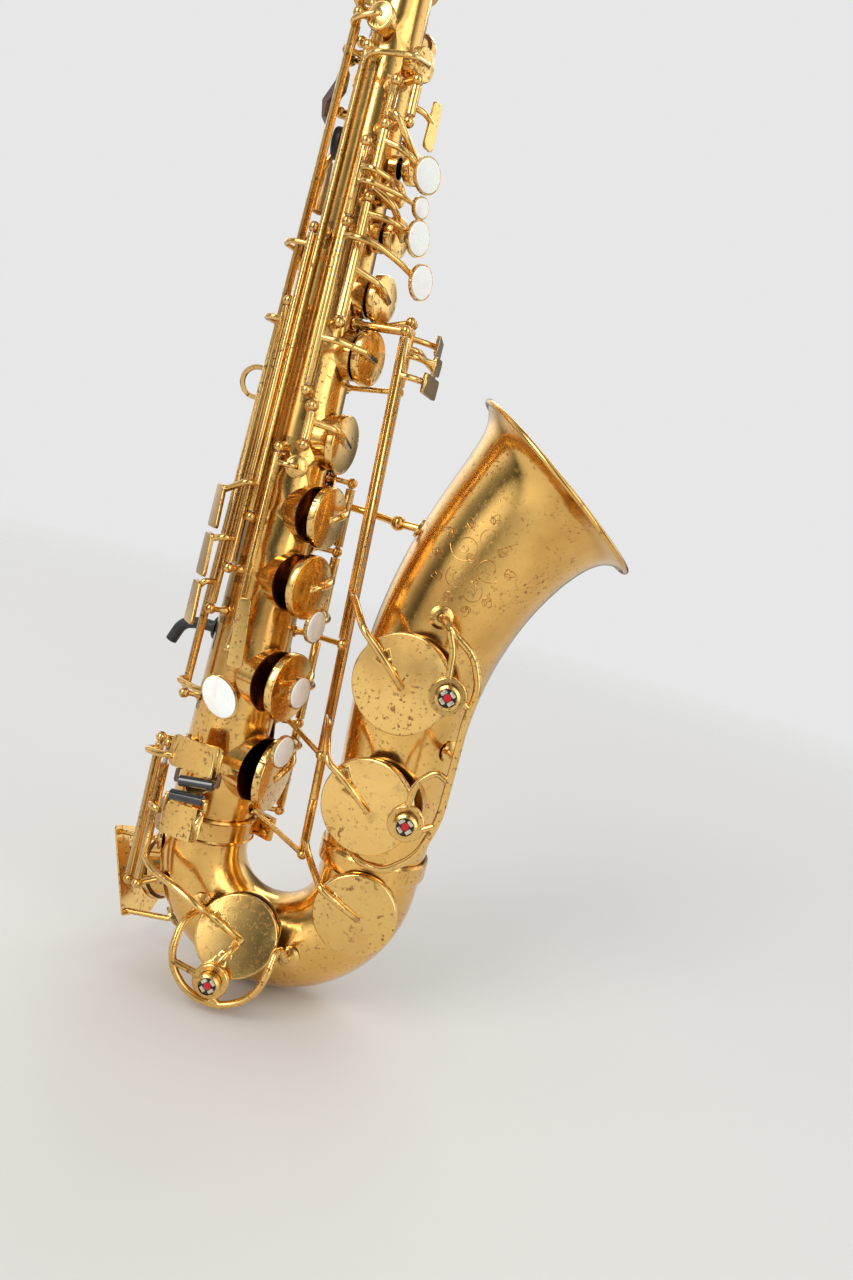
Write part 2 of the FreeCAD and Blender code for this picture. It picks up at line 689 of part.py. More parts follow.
def palmKeys():
    for name, rodName, touchAt, facing, lift in (
            ("palm_d_key", "palm_d", (-112, 358), -112, 15),
            ("palm_eb_key", "palm_eb", (-150, 376), -150, 15),
            ("palm_f_key", "palm_f", (-96, 402), -96, 16)):
        hinge = rods[rodName]
        rim, direction, radius = rimOf(name)
        brassCup, leather = chimneyCup(rim, direction, radius)
        azimuth, z = touchAt
        touch = facingPlate(spot(azimuth, lift, z), facing, 30, 13, 2.2)
        pivot = hinge.at(0)
        back = pivot + (spot(azimuth, lift, z) - pivot) * 0.45 + outward(facing) * 1.0
        arm = pipe([pivot, back, spot(azimuth, lift - 1.2, z + 8)], 1.8)
        brass = [brassCup, cupArm(hinge, 0, rim, direction, radius, wide=1.7), touch, arm]
        key(name, hinge, (-4.6, 4.6), brass, [leather], 0, 13, sense=(rim, direction))

    hinge = rods["front_f"]
    touch = facingPlate(spot(20, 19.4, 411), 24, 24, 9, 1.8)
    arm = pipe([hinge.at(415), spot(34, 18, 414), spot(22, 18.2, 412)], 1.6)
    key("front_f_key", hinge, (410.4, 424.6), [touch, arm], [], 0, 9, sense=(spot(20, 19, 411), outward(20) * -1))


def octaveKeys():
    hinge = rods["octave"]
    hook = [(0, 0), (0, -9), (5.5, -20), (5.0, -27), (7.6, -27.5), (9.2, -19), (4.6, -8), (3.6, 0)]
    face = Part.Face(Part.makePolygon([Vector(x, 0, z) for x, z in hook + hook[:1]]))
    wide = 11.6
    lever = face.extrude(Vector(0, wide, 0))
    lever = lever.makeFillet(1.2, [e for e in lever.Edges if abs(e.Length - wide) > 1e-6][:6])
    lever.Placement = Placement(Vector(-tubeRadius(430) - 6.0, wide / 2, 432), Rotation(Vector(0, 0, 1), 180))
    tail = pipe([hinge.at(0), hinge.at(0) + Vector(0.4, 0, 6), hinge.at(0) + Vector(0.6, 0, 15)], 1.7)
    neckPiece = pipe([hinge.at(0), hinge.at(0) + Vector(-1, 0, -6), Vector(-tubeRadius(430) - 7.6, 0, 429)], 1.9)
    key("octave_lever", hinge, (-2.5, 2.5), [lever, tail, neckPiece], [], 0, 9,
        sense=(Vector(-30, 0, 410), Vector(1, 0, 0)))

    hinge = rods["pip"]
    rim, direction, radius = rimOf("body_octave_key")
    rim, direction = spot(-136, size("chimneyLift"), 468), outward(-136)
    brassCup, leather = chimneyCup(rim, direction, radius)
    tail = pipe([hinge.at(0), hinge.at(0) + direction * 1.5 + Vector(0, 0, -5)], 1.4)
    brass = [brassCup, cupArm(hinge, 0, rim, direction, radius, wide=1.3), tail]
    key("body_octave_key", hinge, (-3.7, 3.7), brass, [leather], 0, 12, sense=(rim, direction))

    hinge = rods["rocker"]
    pivot = hinge.at(0)
    prong = pipe([pivot, Vector(-21, 0, 480), Vector(-20.6, 0, 508), Vector(-15.4, 0, 512.4),
                  Vector(-15.4, 0, 517.3)], 1.2, 0.3)
    tail = pipe([pivot, pivot + Vector(-1.5, 0, -8)], 1.4)
    key("octave_rocker", hinge, (-2.3, 2.3), [prong, tail], [], 0, 4, sense=(Vector(-20, 0, 510), Vector(-1, 0, 0)))


def bellKey(name, hinge, span, rim, direction, radius, armAt, via, lifted, travel, touch):
    brassCup, leather = chimneyCup(rim, direction, radius)
    brass = [brassCup, cupArm(hinge, armAt, rim, direction, radius, via, 2.0), *touch]
    key(name, hinge, span, brass, [leather], lifted, travel, sense=(rim, direction))


def tablePlate(low, high, near, far, offset=0.0):
    """Touch plate of the left hand table, facing the bell."""
    face = 61.5 + offset
    outline = [(-high, near), (-low, near), (-low, far), (-high, far)]
    return plate(outline, 2.0, Placement(Vector(face - 2.0, 0, 0), Rotation(Vector(0, 1, 0), 90)))


def tableKeys():
    lift = size("chimneyLift")
    bb = rods["table_bb"]
    b = rods["table_b"]
    csharp = rods["table_csharp"]
    bbTouch = [tablePlate(277, 288, -14, 17), pipe([bb.at(283), Vector(52, -17, 283), Vector(60.4, -10, 283)], 1.8)]
    bTouch = [tablePlate(290, 299.4, 2, 17), pipe([b.at(295), Vector(52, -9, 295), Vector(60.4, 4, 295)], 1.8)]
    cTouch = [tablePlate(290, 299.4, 19, 34), pipe([csharp.at(299.3), Vector(52.5, -1, 299.3), Vector(53.4, 8, 299),
                                                    Vector(56, 20, 297.5), Vector(60.2, 24, 295)], 1.8)]
    gTouch = [tablePlate(301.6, 312, 6, 34), pipe([rods["table_gsharp"].at(306), Vector(53, 6, 306),
                                                   Vector(60.4, 12, 306)], 1.8)]
    rim, direction = bellSide(127, 4, lift)
    bellKey("low_bb_key", bb, (137.4, 302.6), rim, direction, bbRadius, 163,
            [Vector(56, -27, 162), Vector(70, -47.6, 150)], 8.5, 8.5, bbTouch)
    rim, direction = bellSide(57, 6, lift)
    bellKey("low_b_key", b, (71.4, 302.6), rim, direction, bRadius, 92,
            [Vector(59, -24, 90), Vector(68, -43.6, 76)], 8.5, 8.5, bTouch)
    rim, direction = bowSide(172, 0, lift)
    bellKey("csharp_key", csharp, (9.4, 40), rim, direction, csharpRadius, 15,
            [Vector(64, -20, 12), Vector(76, -39.5, 4)], 0, 12, [])
    key("csharp_touch", csharp, (40.6, 309.6), cTouch, [], 0, 6, sense=(Vector(60, 26, 295), Vector(-1, 0, 0)))
    hinge = rods["table_gsharp"]
    key("gsharp_touch", hinge, (279.4, 309.6), gTouch, [], 0, 8, sense=(Vector(60, 30, 306), Vector(-1, 0, 0)))


def sheetShell(azimuths, lift, low, high, thick):
    """Touch plate curved round the body tube between two azimuths and heights, its corners rounded."""
    middle = (azimuths[0] + azimuths[1]) / 2
    radius = tubeRadius(low) + lift
    half = radius * math.sin(math.radians(azimuths[1] - azimuths[0]) / 2)
    tall = high - low
    ring = Part.makeCylinder(radius, tall, Vector(0, 0, low))
    ring = ring.cut(Part.makeCylinder(radius - thick, tall, Vector(0, 0, low)))
    block = Part.makeBox(radius, 2 * half, tall, Vector(radius * 0.5, -half, low))
    block = block.makeFillet(3.6, [e for e in block.Edges if abs(e.Length - radius) < 1e-6])
    block.rotate(Vector(), Vector(0, 0, 1), -middle)
    return ring.common(block)


def rollerPlace(azimuth, lift, z):
    side = Vector(0, 0, 1).cross(outward(azimuth))
    lean = (side + Vector(0, 0, 0.12)).normalize()
    return spot(azimuth, lift, z) - lean * (size("rollerLength") / 2), lean


def fingerKeys():
    """Low E flat and low C keys for the right little finger, with their rollers."""
    lift = size("chimneyLift")
    reach = size("rollerLength")
    cRoller = rollerPlace(95, 18.4, 35.6)
    ebRoller = rollerPlace(94, 18.4, 43.8)

    def carrier(place, drop):
        start, lean = place
        pin = rod(start - lean * 2.4, start + lean * (reach + 2.4), 1.1)
        ears = [rod(start - lean * 1.9, start - lean * 1.9 + drop, 1.2),
                rod(start + lean * (reach + 1.9), start + lean * (reach + 1.9) + drop, 1.2)]
        return [pin, *ears]

    hinge = rods["finger_outer"]
    rim, direction = ebSide(lift)
    brassCup, leather = chimneyCup(rim, direction, ebRadius)
    touch = sheetShell((80, 122), 19.2, 48.6, 66, 1.6)
    brass = [brassCup, cupArm(hinge, -6, rim, direction, ebRadius, [Vector(-39, -12, -12)], 2.0), touch,
             pipe([hinge.at(50), Vector(-38.5, -28.5, 51), spot(130, 21.5, 52), spot(118, 18.8, 54)], 2.0),
             *carrier(ebRoller, Vector(0, 0, 6.2))]
    key("low_eb_key", hinge, (-25.4, 53.6), brass, [leather], 0, 12, sense=(rim, direction))

    hinge = rods["finger_inner"]
    rim, direction = bowSide(lowCTurn, lowCTilt, lift)
    brassCup, leather = chimneyCup(rim, direction, lowCRadius)
    touch = sheetShell((80, 118), 18.4, 12, 31, 1.6)
    foot = rod(Vector(31.8, -39.4, -58), Vector(31.8, -41.2, -58), 5.0)
    brass = [brassCup, touch, cupArm(hinge, -9, rim, direction, lowCRadius,
                                     [Vector(-18, -33.5, -13), Vector(4, -40.5, -17), Vector(18, -42, -22)], 2.1),
             pipe([rim + direction * 7.2 + Vector(2, 0, -4), Vector(34.5, -40.4, -50), Vector(31.8, -40.4, -58)], 1.9),
             foot, pipe([hinge.at(22), Vector(-27, -33, 22), spot(117, 17.4, 22)], 2.0),
             *carrier(cRoller, Vector(0, 0, -6.2))]
    key("low_c_key", hinge, (-23.4, 45), brass, [leather], 7, 7, sense=(rim, direction))

    for name, place in (("eb_roller", ebRoller), ("c_roller", cRoller)):
        start, lean = place
        radius = size("rollerRadius")
        barrel = turned([(1.16, 0.15), (radius - 0.5, 0.15), (radius, 0.65), (radius, reach - 0.65),
                         (radius - 0.5, reach - 0.15), (1.16, reach - 0.15)], along(start, lean))
        if name == "c_roller":
            middle = hinge.at((-23.4 + 45) / 2)
            opens = 1 if hinge.axis.cross(rim - middle).dot(direction) > 0 else -1
            barrel.rotate(middle, hinge.axis, opens * 7)
            turn = Rotation(hinge.axis, opens * 7)
            start = middle + turn.multVec(start - middle)
            lean = turn.multVec(lean)
        feature(name, [barrel])
        hinges[name] = (start - origin, lean, 0)


# ---- fittings on the shell

def profileBody(name, plane, profile, place=Placement()):
    """PartDesign body with a sketch of a closed profile of (x, y) expressions, ready for a feature."""
    body = doc.addObject("PartDesign::Body", name)
    sketch = body.newObject("Sketcher::SketchObject", f"{name}_profile")
    support = next(f for f in body.Origin.OriginFeatures if f.Role == plane)
    sketch.AttachmentSupport = [(support, "")]
    sketch.MapMode = "FlatFace"
    corners = [Vector(float(body.evalExpression(x)), float(body.evalExpression(y)), 0) for x, y in profile]
    for number, corner in enumerate(corners):
        sketch.addGeometry(Part.LineSegment(corner, corners[(number + 1) % len(corners)]), False)
    for number, (x, y) in enumerate(profile):
        before = number - 1 if number else len(profile) - 1
        sketch.addConstraint(Sketcher.Constraint("Coincident", before, 2, number, 1))
        for expression, kind, axis, value in ((x, "DistanceX", -2, corners[number].x),
                                              (y, "DistanceY", -1, corners[number].y)):
            if abs(value) < 1e-9:
                sketch.addConstraint(Sketcher.Constraint("PointOnObject", number, 1, axis))
            else:
                held = sketch.addConstraint(Sketcher.Constraint(kind, -1, 1, number, 1, value))
                sketch.setExpression(f"Constraints[{held}]", expression)
    body.Placement = place
    return body, sketch


def ringBody(name, profile, place=Placement()):
    """Ring turned from a closed profile of (radius, height) expressions."""
    body, sketch = profileBody(name, "XZ_Plane", profile, place)
    turn = body.newObject("PartDesign::Revolution", f"{name}_turn")
    turn.Profile = sketch
    turn.ReferenceAxis = (sketch, ["V_Axis"])
    turn.Angle = 360
    body.Tip = turn
    return body


def bands():
    grip = "sizes.tubeFoot + 0.05"
    ring = ringBody("clamp_band", [(grip, "5"), ("sizes.tubeFoot + 1.7", "5"), ("sizes.tubeFoot + 2.3", "6"),
                                   ("sizes.tubeFoot + 1.5", "7"), ("sizes.tubeFoot + 1.5", "17"),
                                   ("sizes.tubeFoot + 2.3", "18"), ("sizes.tubeFoot + 1.7", "19"), (grip, "19")])
    lug = add("Part::Box", "clamp_lug", Length=15.5, Width=3.4, Height=14)
    lug.Placement = Placement(outward(-30) * (size("tubeFoot") + 0.7) + Vector(0, 0, 5),
                              Rotation(Vector(0, 0, 1), -30))
    joined = add("Part::Fuse", "clamp_joined", Base=ring, Tool=lug)
    drilled = []
    screws = []
    across = lug.Placement.Rotation.multVec(Vector(0, -1, 0))
    for number, z in enumerate((3.6, 10.4)):
        start = lug.Placement.multVec(Vector(11.2, 3.3, z))
        hole = add("Part::Cylinder", f"clamp_hole{number}", Radius=1.55, Height=12)
        hole.Placement = along(start - across * 4, across)
        drilled.append(hole)
        head = turned([(0, 3.5), (2.9, 3.5), (2.9, 4.7), (2.2, 5.5, 2.7, 5.2), (0.5, 5.5), (0.5, 4.9), (0, 4.9)],
                      along(start, across))
        screws.append(head.fuse(rod(start, start + across * 3.6, 1.5)))
    finish(add("Part::Cut", "clamp", Base=joined, Tool=add("Part::MultiFuse", "clamp_holes", Shapes=drilled)),
           "body_bow_clamp")
    feature("clamp_screws", screws)
    place = Placement(Vector(2 * size("bowBend"), 0, size("bowCollar")), Rotation())
    finish(ringBody("ferrule", [("sizes.bowOutlet + 0.75", "-6"), ("sizes.bowOutlet + 2", "-6"),
                                ("sizes.bowOutlet + 2.6", "-4.5"), ("sizes.bowOutlet + 2.6", "4.5"),
                                ("sizes.bowOutlet + 2", "6"), ("sizes.bowOutlet + 0.75", "6")], place),
           "bell_ferrule")


def brace():
    """Ring brace between the body tube and the bell."""
    bellEnd = Vector(78.4, 1.5, 206)
    path = [spot(-34, 0.3, 208), Vector(29, 19.5, 208), Vector(50, 16.5, 207), Vector(64, 5.5, 206)]
    bar = pipe(path, 2.2)
    base = Part.makeCylinder(5.0, 1.4, spot(-34, 0.3, 208), outward(-34))
    ball = Part.makeSphere(4.4, Vector(64, 5.5, 206))
    stem = rod(Vector(64, 5.5, 206), bellEnd, 2.4)
    foot = Part.makeCylinder(6.0, 1.5, bellEnd - Vector(0.9, 0.0, -0.35), Vector(0.93, 0, -0.37) * -1)
    feature("bell_brace", [bar.fuse([base, ball, stem, foot])])


def strapRing():
    hole = size("ringHole")
    wire = size("ringWire")
    centre = origin
    half = wire / 2
    ring = turned([(hole, -half), (hole + wire - 0.8, -half), (hole + wire, -half + 0.8), (hole + wire, half - 0.8),
                   (hole + wire - 0.8, half), (hole, half)], along(centre, Vector(0, 1, 0)))
    inner = Vector(-tubeRadius(centre.z) - 0.3, 0, centre.z)
    block = Part.makeBox(4.2, 3.6, 13, inner + Vector(-3.6, -1.8, -6.5))
    block = block.cut(Part.makeCylinder(hole, 10, centre - Vector(0, 5, 0), Vector(0, 1, 0)))
    saddle = Part.makeBox(2.6, 10, 22, inner + Vector(-1.6, -5, -11))
    mounted = ring.fuse([block, saddle])
    tube = Part.makeCone(tubeRadius(240) + 0.1, tubeRadius(285) + 0.1, 45, Vector(0, 0, 240))
    feature("strap_ring", [mounted.cut(tube)])


def thumbParts():
    foot = spot(194, 0.3, 121)
    away = outward(194)
    hook = pipe([foot, foot + away * 12, foot + away * 24 + Vector(0, 0, -3), foot + away * 29 + Vector(0, 0, -15)],
                3.4)
    pad_ = Part.makeCylinder(7.0, 1.6, foot, away)
    feature("thumb_hook", [hook.fuse(pad_)])
    rest = turned([(0, 0), (8.4, 0), (8.4, 2.4), (6.6, 4.2, 7.9, 3.6), (3.4, 5.0), (0, 5.0)],
                  along(spot(180, 0.4, 395), outward(180)))
    feature("thumb_rest", [rest])


# ---- key guards and their felts

bbFelt = Vector(116.5, -57.0, 128.6)
bFelt = Vector(112.5, -53.4, 56.7)
cFelt = Vector(31.8, -52.4, -58.0)
bumperPlaces = [bbFelt, bFelt, cFelt]


def guardRing(centre):
    """Ring of a guard that the felt's cup screws into."""
    return turned([(6.8, -1.6), (9.4, -1.6), (10.2, 0, 9.98, -1.13), (9.4, 1.6, 9.98, 1.13), (6.8, 1.6)],
                  along(centre, Vector(0, -1, 0)))


def guardFoot(point, direction):
    return turned([(0, 0.1), (6.4, 0.1), (6.4, 1.1), (4.6, 1.9), (2.6, 2.4), (0, 2.4)], along(point, direction))


def bellPlace(z, swing, lift=0.0):
    """Point on the straight bell and the way out from it, swing degrees from the player's right to the front."""
    angle = math.radians(swing)
    direction = Vector(math.sin(angle), -math.cos(angle), 0)
    return Vector(2 * size("bowBend"), 0, z) + direction * (bellRadius(z) + lift), direction


def guards():
    bar = 2.1
    topFoot, topOut = bellPlace(165, 6, 0.9)
    lowFoot, lowOut = bellPlace(30, -30, 0.4)
    sideFoot, sideOut = bellPlace(92, 52, 0.2)
    rail = pipe([topFoot, topFoot + topOut * 12 + Vector(1, 0, 1), Vector(111, -57, 161), Vector(124.5, -57, 152),
                 Vector(131, -56.5, 136), Vector(128.4, -56, 118), Vector(129.2, -54.5, 92),
                 Vector(128.6, -53.4, 62), Vector(122, -52.6, 40), Vector(107, -48.5, 26),
                 Vector(92, -42, 25.5), lowFoot], bar, 0.4)
    crescent = pipe([Vector(109, -57, 161.4), Vector(113.5, -57, 152), Vector(114.6, -57, 137.6)], 1.9)
    arch = pipe([Vector(128.8, -54.2, 84), Vector(121, -53.8, 88), Vector(112, -53.4, 79),
                 Vector(111, -53.4, 65.6)], 1.9)
    ties = [rod(bbFelt + Vector(9, 0, -1.5), Vector(129, -56.2, 124), 1.9),
            rod(bFelt + Vector(9, 0, -1), Vector(128.6, -53.4, 60), 1.9)]
    stay = pipe([Vector(129, -55, 100), Vector(128, -45, 95), sideFoot], 1.9)
    bellGuard = rail.fuse([crescent, arch, *ties, stay, guardRing(bbFelt), guardRing(bFelt),
                           guardFoot(topFoot, topOut), guardFoot(lowFoot, lowOut), guardFoot(sideFoot, sideOut)])
    feature("bell_key_guards", [bellGuard])

    left, leftOut = bowSide(38, 4, 0.4)
    right, rightOut = bowSide(112, 2, 0.4)
    loop = Vector(34, -52.4, -44)
    hoop = []
    for step in range(0, 9):
        angle = math.radians(160 + step * 24.5)
        hoop.append(loop + Vector(27 * math.cos(angle), 0, 27 * math.sin(angle)))
    path = [left, left + leftOut * 9, Vector(7.6, -46, -33), *hoop[1:], Vector(62, -44, -32), right + rightOut * 7,
            right]
    big = pipe(path, bar, 0.42)
    tie = rod(cFelt + Vector(2, 0, -9), loop + Vector(6, 0, -26.6), 1.9)
    tieLeft = rod(cFelt + Vector(-9, 0, 2), loop + Vector(-25.5, 0, -8.5), 1.9)
    cGuard = big.fuse([tie, tieLeft, guardRing(cFelt), guardFoot(left, leftOut), guardFoot(right, rightOut)])

    rim, out = ebSide(0)
    top = rim + out * 21.5
    down = Vector(0, 0, -1)
    down = (down - out * down.dot(out)).normalize()
    lying = Placement(top, Rotation(down, out.cross(down), out, "ZXY"))
    outline = [(-30, 17), (24, 19), (29, -8), (20, -25), (9, -22), (-22, -12)]
    shield = plate(outline, 1.3, lying)
    for turn, swing, corner in ((4, 20, (-25, 12)), (42, 16, (22, 14)), (34, -63, (17, -20))):
        foot, away = bowOutside(turn, swing, 0.3)
        head = lying.multVec(Vector(*corner, 0.6))
        shield = shield.fuse([pipe([foot, foot + away * 3, head], 1.7), guardFoot(foot, away)])
    feature("bow_key_guards", [cGuard, shield])


def bumpers():
    cups, felts = [], []
    for centre in bumperPlaces:
        place = along(centre + Vector(0, 0.4, 0), Vector(0, -1, 0))
        cups.append(turned([(4.6, 0), (6.5, 0), (6.5, 6.6), (5.2, 7.4), (4.9, 7.4), (4.9, 2.0), (4.6, 2.0)], place))
        felts.append(turned([(0, -0.7), (4.4, -0.7), (4.4, 5.6), (0, 5.6)], place))
    feature("bumper_cups", cups)
    feature("felt_bumpers", felts)


def needles():
    """Blued needle springs, from a post to the hinge tube of the key that each returns."""
    wires = []
    for name, low, high, lift in (
            ("lower", 27, 60, 5), ("lower", 81, 114, 5), ("lower", 134, 166, 5), ("lower", 184, 212, 5),
            ("upper", 303, 335, 4.6), ("upper", 368, 392, 4.6), ("side_e", 194, 236, 4), ("side_c", 164, 206, 4)):
        hinge = rods[name]
        start = hinge.at(low)
        side = Vector(start.x, start.y, 0).normalize()
        wires.append(rod(start - side * lift, hinge.at(high) - side * (lift - 0.6), 0.45))
    feature("needle_springs", wires)


# ---- neck and mouthpiece

neckFoot = size("tubeLength") + size("receiverHeight") + 0.3
neckRise = 16.0
neckBend = 44.0
neckTurn = 100
neckRun = 72.0
neckWaist = 7.3
collarHeight = 3.0


def neckPoint(run):
    """Centre and lean of the neck at run millimetres from its foot."""
    turnLength = math.radians(neckTurn) * neckBend
    top = neckFoot + neckRise
    if run <= neckRise:
        return Vector(0, 0, neckFoot + run), 0.0
    angle = min((run - neckRise) / neckBend, math.radians(neckTurn))
    point = Vector(-neckBend * (1 - math.cos(angle)), 0, top + neckBend * math.sin(angle))
    rest = max(0.0, run - neckRise - turnLength)
    lean = -math.degrees(angle)
    return point + Vector(-math.sin(angle), 0, math.cos(angle)) * rest, lean


neckLength = neckRise + math.radians(neckTurn) * neckBend + neckRun
tip, tipLean = neckPoint(neckLength)
blow = Vector(math.sin(math.radians(tipLean)), 0, math.cos(math.radians(tipLean)))
reedSide = Vector(blow.z * -1, 0, blow.x)


def receiver():
    place = Placement(Vector(0, 0, size("tubeLength")), Rotation())
    bore = "sizes.tenonRadius + sizes.slip"
    ring = ringBody("receiver_sleeve", [(bore, "0"), ("sizes.receiverRadius", "0"),
                                        ("sizes.receiverRadius + 0.6", "2"), ("sizes.receiverRadius", "4"),
                                        ("sizes.receiverRadius", "sizes.receiverHeight - 3"),
                                        ("sizes.receiverRadius + 0.8", "sizes.receiverHeight - 1.5"),
                                        ("sizes.receiverRadius", "sizes.receiverHeight"),
                                        (bore, "sizes.receiverHeight")], place)
    z = size("tubeLength") + 14
    ears = add("Part::Box", "receiver_ears", Length=10, Width=9, Height=13)
    ears.Placement.Base = Vector(12.8, -4.5, z - 6.5)
    slit = add("Part::Box", "receiver_slit", Length=14, Width=1.6, Height=30)
    slit.Placement.Base = Vector(11, -0.8, size("tubeLength") + 4)
    hole = add("Part::Cylinder", "receiver_screw_hole", Radius=2.05, Height=14)
    hole.Placement = along(Vector(20, 7, z), Vector(0, -1, 0))
    bored = add("Part::Cylinder", "receiver_bore", Radius="sizes.tenonRadius + sizes.slip", Height=40)
    bored.Placement.Base = Vector(0, 0, size("tubeLength") - 5)
    joined = add("Part::Fuse", "receiver_joined", Base=ring, Tool=ears)
    cuts = add("Part::MultiFuse", "receiver_cuts", Shapes=[slit, hole, bored])
    finish(add("Part::Cut", "receiver", Base=joined, Tool=cuts), "neck_receiver")
    start = Vector(20, 6.4, z)
    screw = rod(start, start + Vector(0, -14.6, 0), 2.0)
    collar = Part.makeCylinder(3.2, 1.6, Vector(20, -4.8, z), Vector(0, -1, 0))
    wing = plate([(-4.4, 0), (4.4, 0), (5.4, 5), (3.6, 10), (-3.6, 10), (-5.4, 5)], 2.4,
                 Placement(Vector(20, -6.6, z + 1.2), Rotation(Vector(1, 0, 0), 180)))
    feature("neck_clamp_screw", [screw.fuse([collar, wing])])
    hinges["neck_clamp_screw"] = (Vector(20, 0, z) - origin, Vector(0, -1, 0), 90)


def neck():
    waistAt = neckLength - size("corkLength")
    steps = 12
    runs = [collarHeight + (neckLength - collarHeight) * step / steps for step in range(steps + 1)]

    def stations(inset):
        rings = []
        for run in runs:
            point, lean = neckPoint(run)
            share = min(1.0, (run - collarHeight) / (waistAt - collarHeight))
            past = max(0.0, (run - waistAt) / size("corkLength"))
            radius = (f"sizes.tenonRadius + ({neckWaist} - sizes.tenonRadius) * {share:.4f}"
                      f" + (sizes.neckTip - {neckWaist}) * {past:.4f}")
            rings.append((point, lean, f"{radius} - {inset} * sizes.wall"))
        return rings
    outer = loft("neck_outside", stations(0))
    inner = loft("neck_bore", stations(1))
    curve = add("Part::Cut", "neck_curve", Base=outer, Tool=inner)
    tenon = add("Part::Cylinder", "neck_tenon", Radius="sizes.tenonRadius", Height="sizes.receiverHeight + 1")
    tenon.Placement.Base = Vector(0, 0, neckFoot + collarHeight - size("receiverHeight") - 1)
    collar = add("Part::Cylinder", "neck_collar", Radius="sizes.tenonRadius + 1.6", Height=collarHeight)
    collar.Placement.Base = Vector(0, 0, neckFoot)
    hollow = add("Part::Cylinder", "neck_tenon_bore", Radius="sizes.tenonRadius - sizes.wall",
                 Height="sizes.receiverHeight + 1")
    hollow.Placement.Base = tenon.Placement.Base
    plug = add("Part::Fuse", "neck_plug", Base=tenon, Tool=collar)
    socket = add("Part::Cut", "neck_socket", Base=plug, Tool=hollow)
    finish(add("Part::Fuse", "neck_shell", Base=curve, Tool=socket), "neck_tube")

    sleeve = add("Part::Cylinder", "cork_sleeve", Radius="sizes.corkRadius", Height="sizes.corkLength")
    core = add("Part::Cone", "cork_core", Radius1=neckWaist, Radius2="sizes.neckTip", Height="sizes.corkLength")
    start = tip - blow * size("corkLength")
    for item in (sleeve, core):
        item.Placement = along(start, blow)
    finish(add("Part::Cut", "cork", Base=sleeve, Tool=core), "neck_cork")


def mouthpiece():
    overlap = 38.0
    shank = tip - blow * overlap
    frame = Placement(shank, Rotation(reedSide, Vector(0, -1, 0), blow, "ZXY"))
    table = 8.6
    profile = [("0", "0"), ("sizes.mouthRadius", "0"), ("sizes.mouthRadius + 0.5", "1.5"),
               ("sizes.mouthRadius", "3"), ("sizes.mouthRadius - 0.6", "44"), ("sizes.mouthRadius - 1.2", "60"),
               ("sizes.mouthRadius - 1.6", "sizes.mouthLength"), ("0", "sizes.mouthLength")]
    blank = ringBody("mouth_blank", profile)
    bore = add("Part::Cylinder", "mouth_bore", Radius="sizes.corkRadius + sizes.slip", Height=56)
    throat = add("Part::Cylinder", "mouth_throat", Radius=6.2, Height=20)
    throat.Placement.Base = Vector(0, 0, 54)
    flat = add("Part::Box", "mouth_table", Length=10, Width=40, Height=80)
    flat.Placement.Base = Vector(table, -20, 26)
    window = add("Part::Box", "mouth_window", Length=14, Width=11, Height=26)
    window.Placement.Base = Vector(0.5, -5.5, 60)
    beak = add("Part::Box", "mouth_beak", Length=30, Width=40, Height=60)
    beak.Placement = Placement(Vector(-39.0, -20, 64.4), Rotation(Vector(0, 1, 0), 26.5))
    cuts = add("Part::MultiFuse", "mouth_cuts", Shapes=[bore, throat, flat, window, beak])
    cut = add("Part::Cut", "mouth", Base=blank, Tool=cuts)
    cut.Placement = frame
    finish(cut, "mouthpiece")
    body, sketch = profileBody("reed_body", "XZ_Plane", [("8.65", "26.3"), ("11.5", "26.3"), ("11.5", "54"),
                                                         ("9.0", "sizes.mouthLength - 1"),
                                                         ("8.65", "sizes.mouthLength - 1")], frame)
    slab = body.newObject("PartDesign::Pad", "reed_pad")
    slab.Profile = sketch
    slab.Length = 12.4
    slab.Midplane = True
    body.Tip = slab
    finish(body, "reed")
    band = turned([(13.1, 26), (13.9, 26), (14.3, 27), (13.9, 28), (13.9, 46), (14.3, 47), (13.9, 48), (13.1, 48)],
                  Placement())
    lugs = [Part.makeBox(5, 8, 5, Vector(13.3, -4, z)) for z in (28.5, 40.5)]
    holes = [rod(Vector(16.1, -8, z + 2.5), Vector(16.1, 8, z + 2.5), 1.5) for z in (28.5, 40.5)]
    clip = band.fuse(lugs).cut(holes)
    clip.Placement = frame
    feature("ligature", [clip])
    screws = []
    for number, z in enumerate((31, 43)):
        shaft = rod(Vector(16.1, -5, z), Vector(16.1, 9, z), 1.45)
        head = turned([(0, 0), (2.6, 0), (3.2, 1), (3.2, 4), (2.6, 5), (0, 5)],
                      along(Vector(16.1, 4.6, z), Vector(0, 1, 0)))
        screw = shaft.fuse(head)
        screw.Placement = frame
        name = "ligature_screw_back" if number == 0 else "ligature_screw_front"
        feature(name, [screw])
        hinges[name] = (frame.multVec(Vector(16.1, 0, z)) - origin, frame.Rotation.multVec(Vector(0, 1, 0)), 90)
    hinges["mouthpiece"] = (shank - origin, blow, 0)


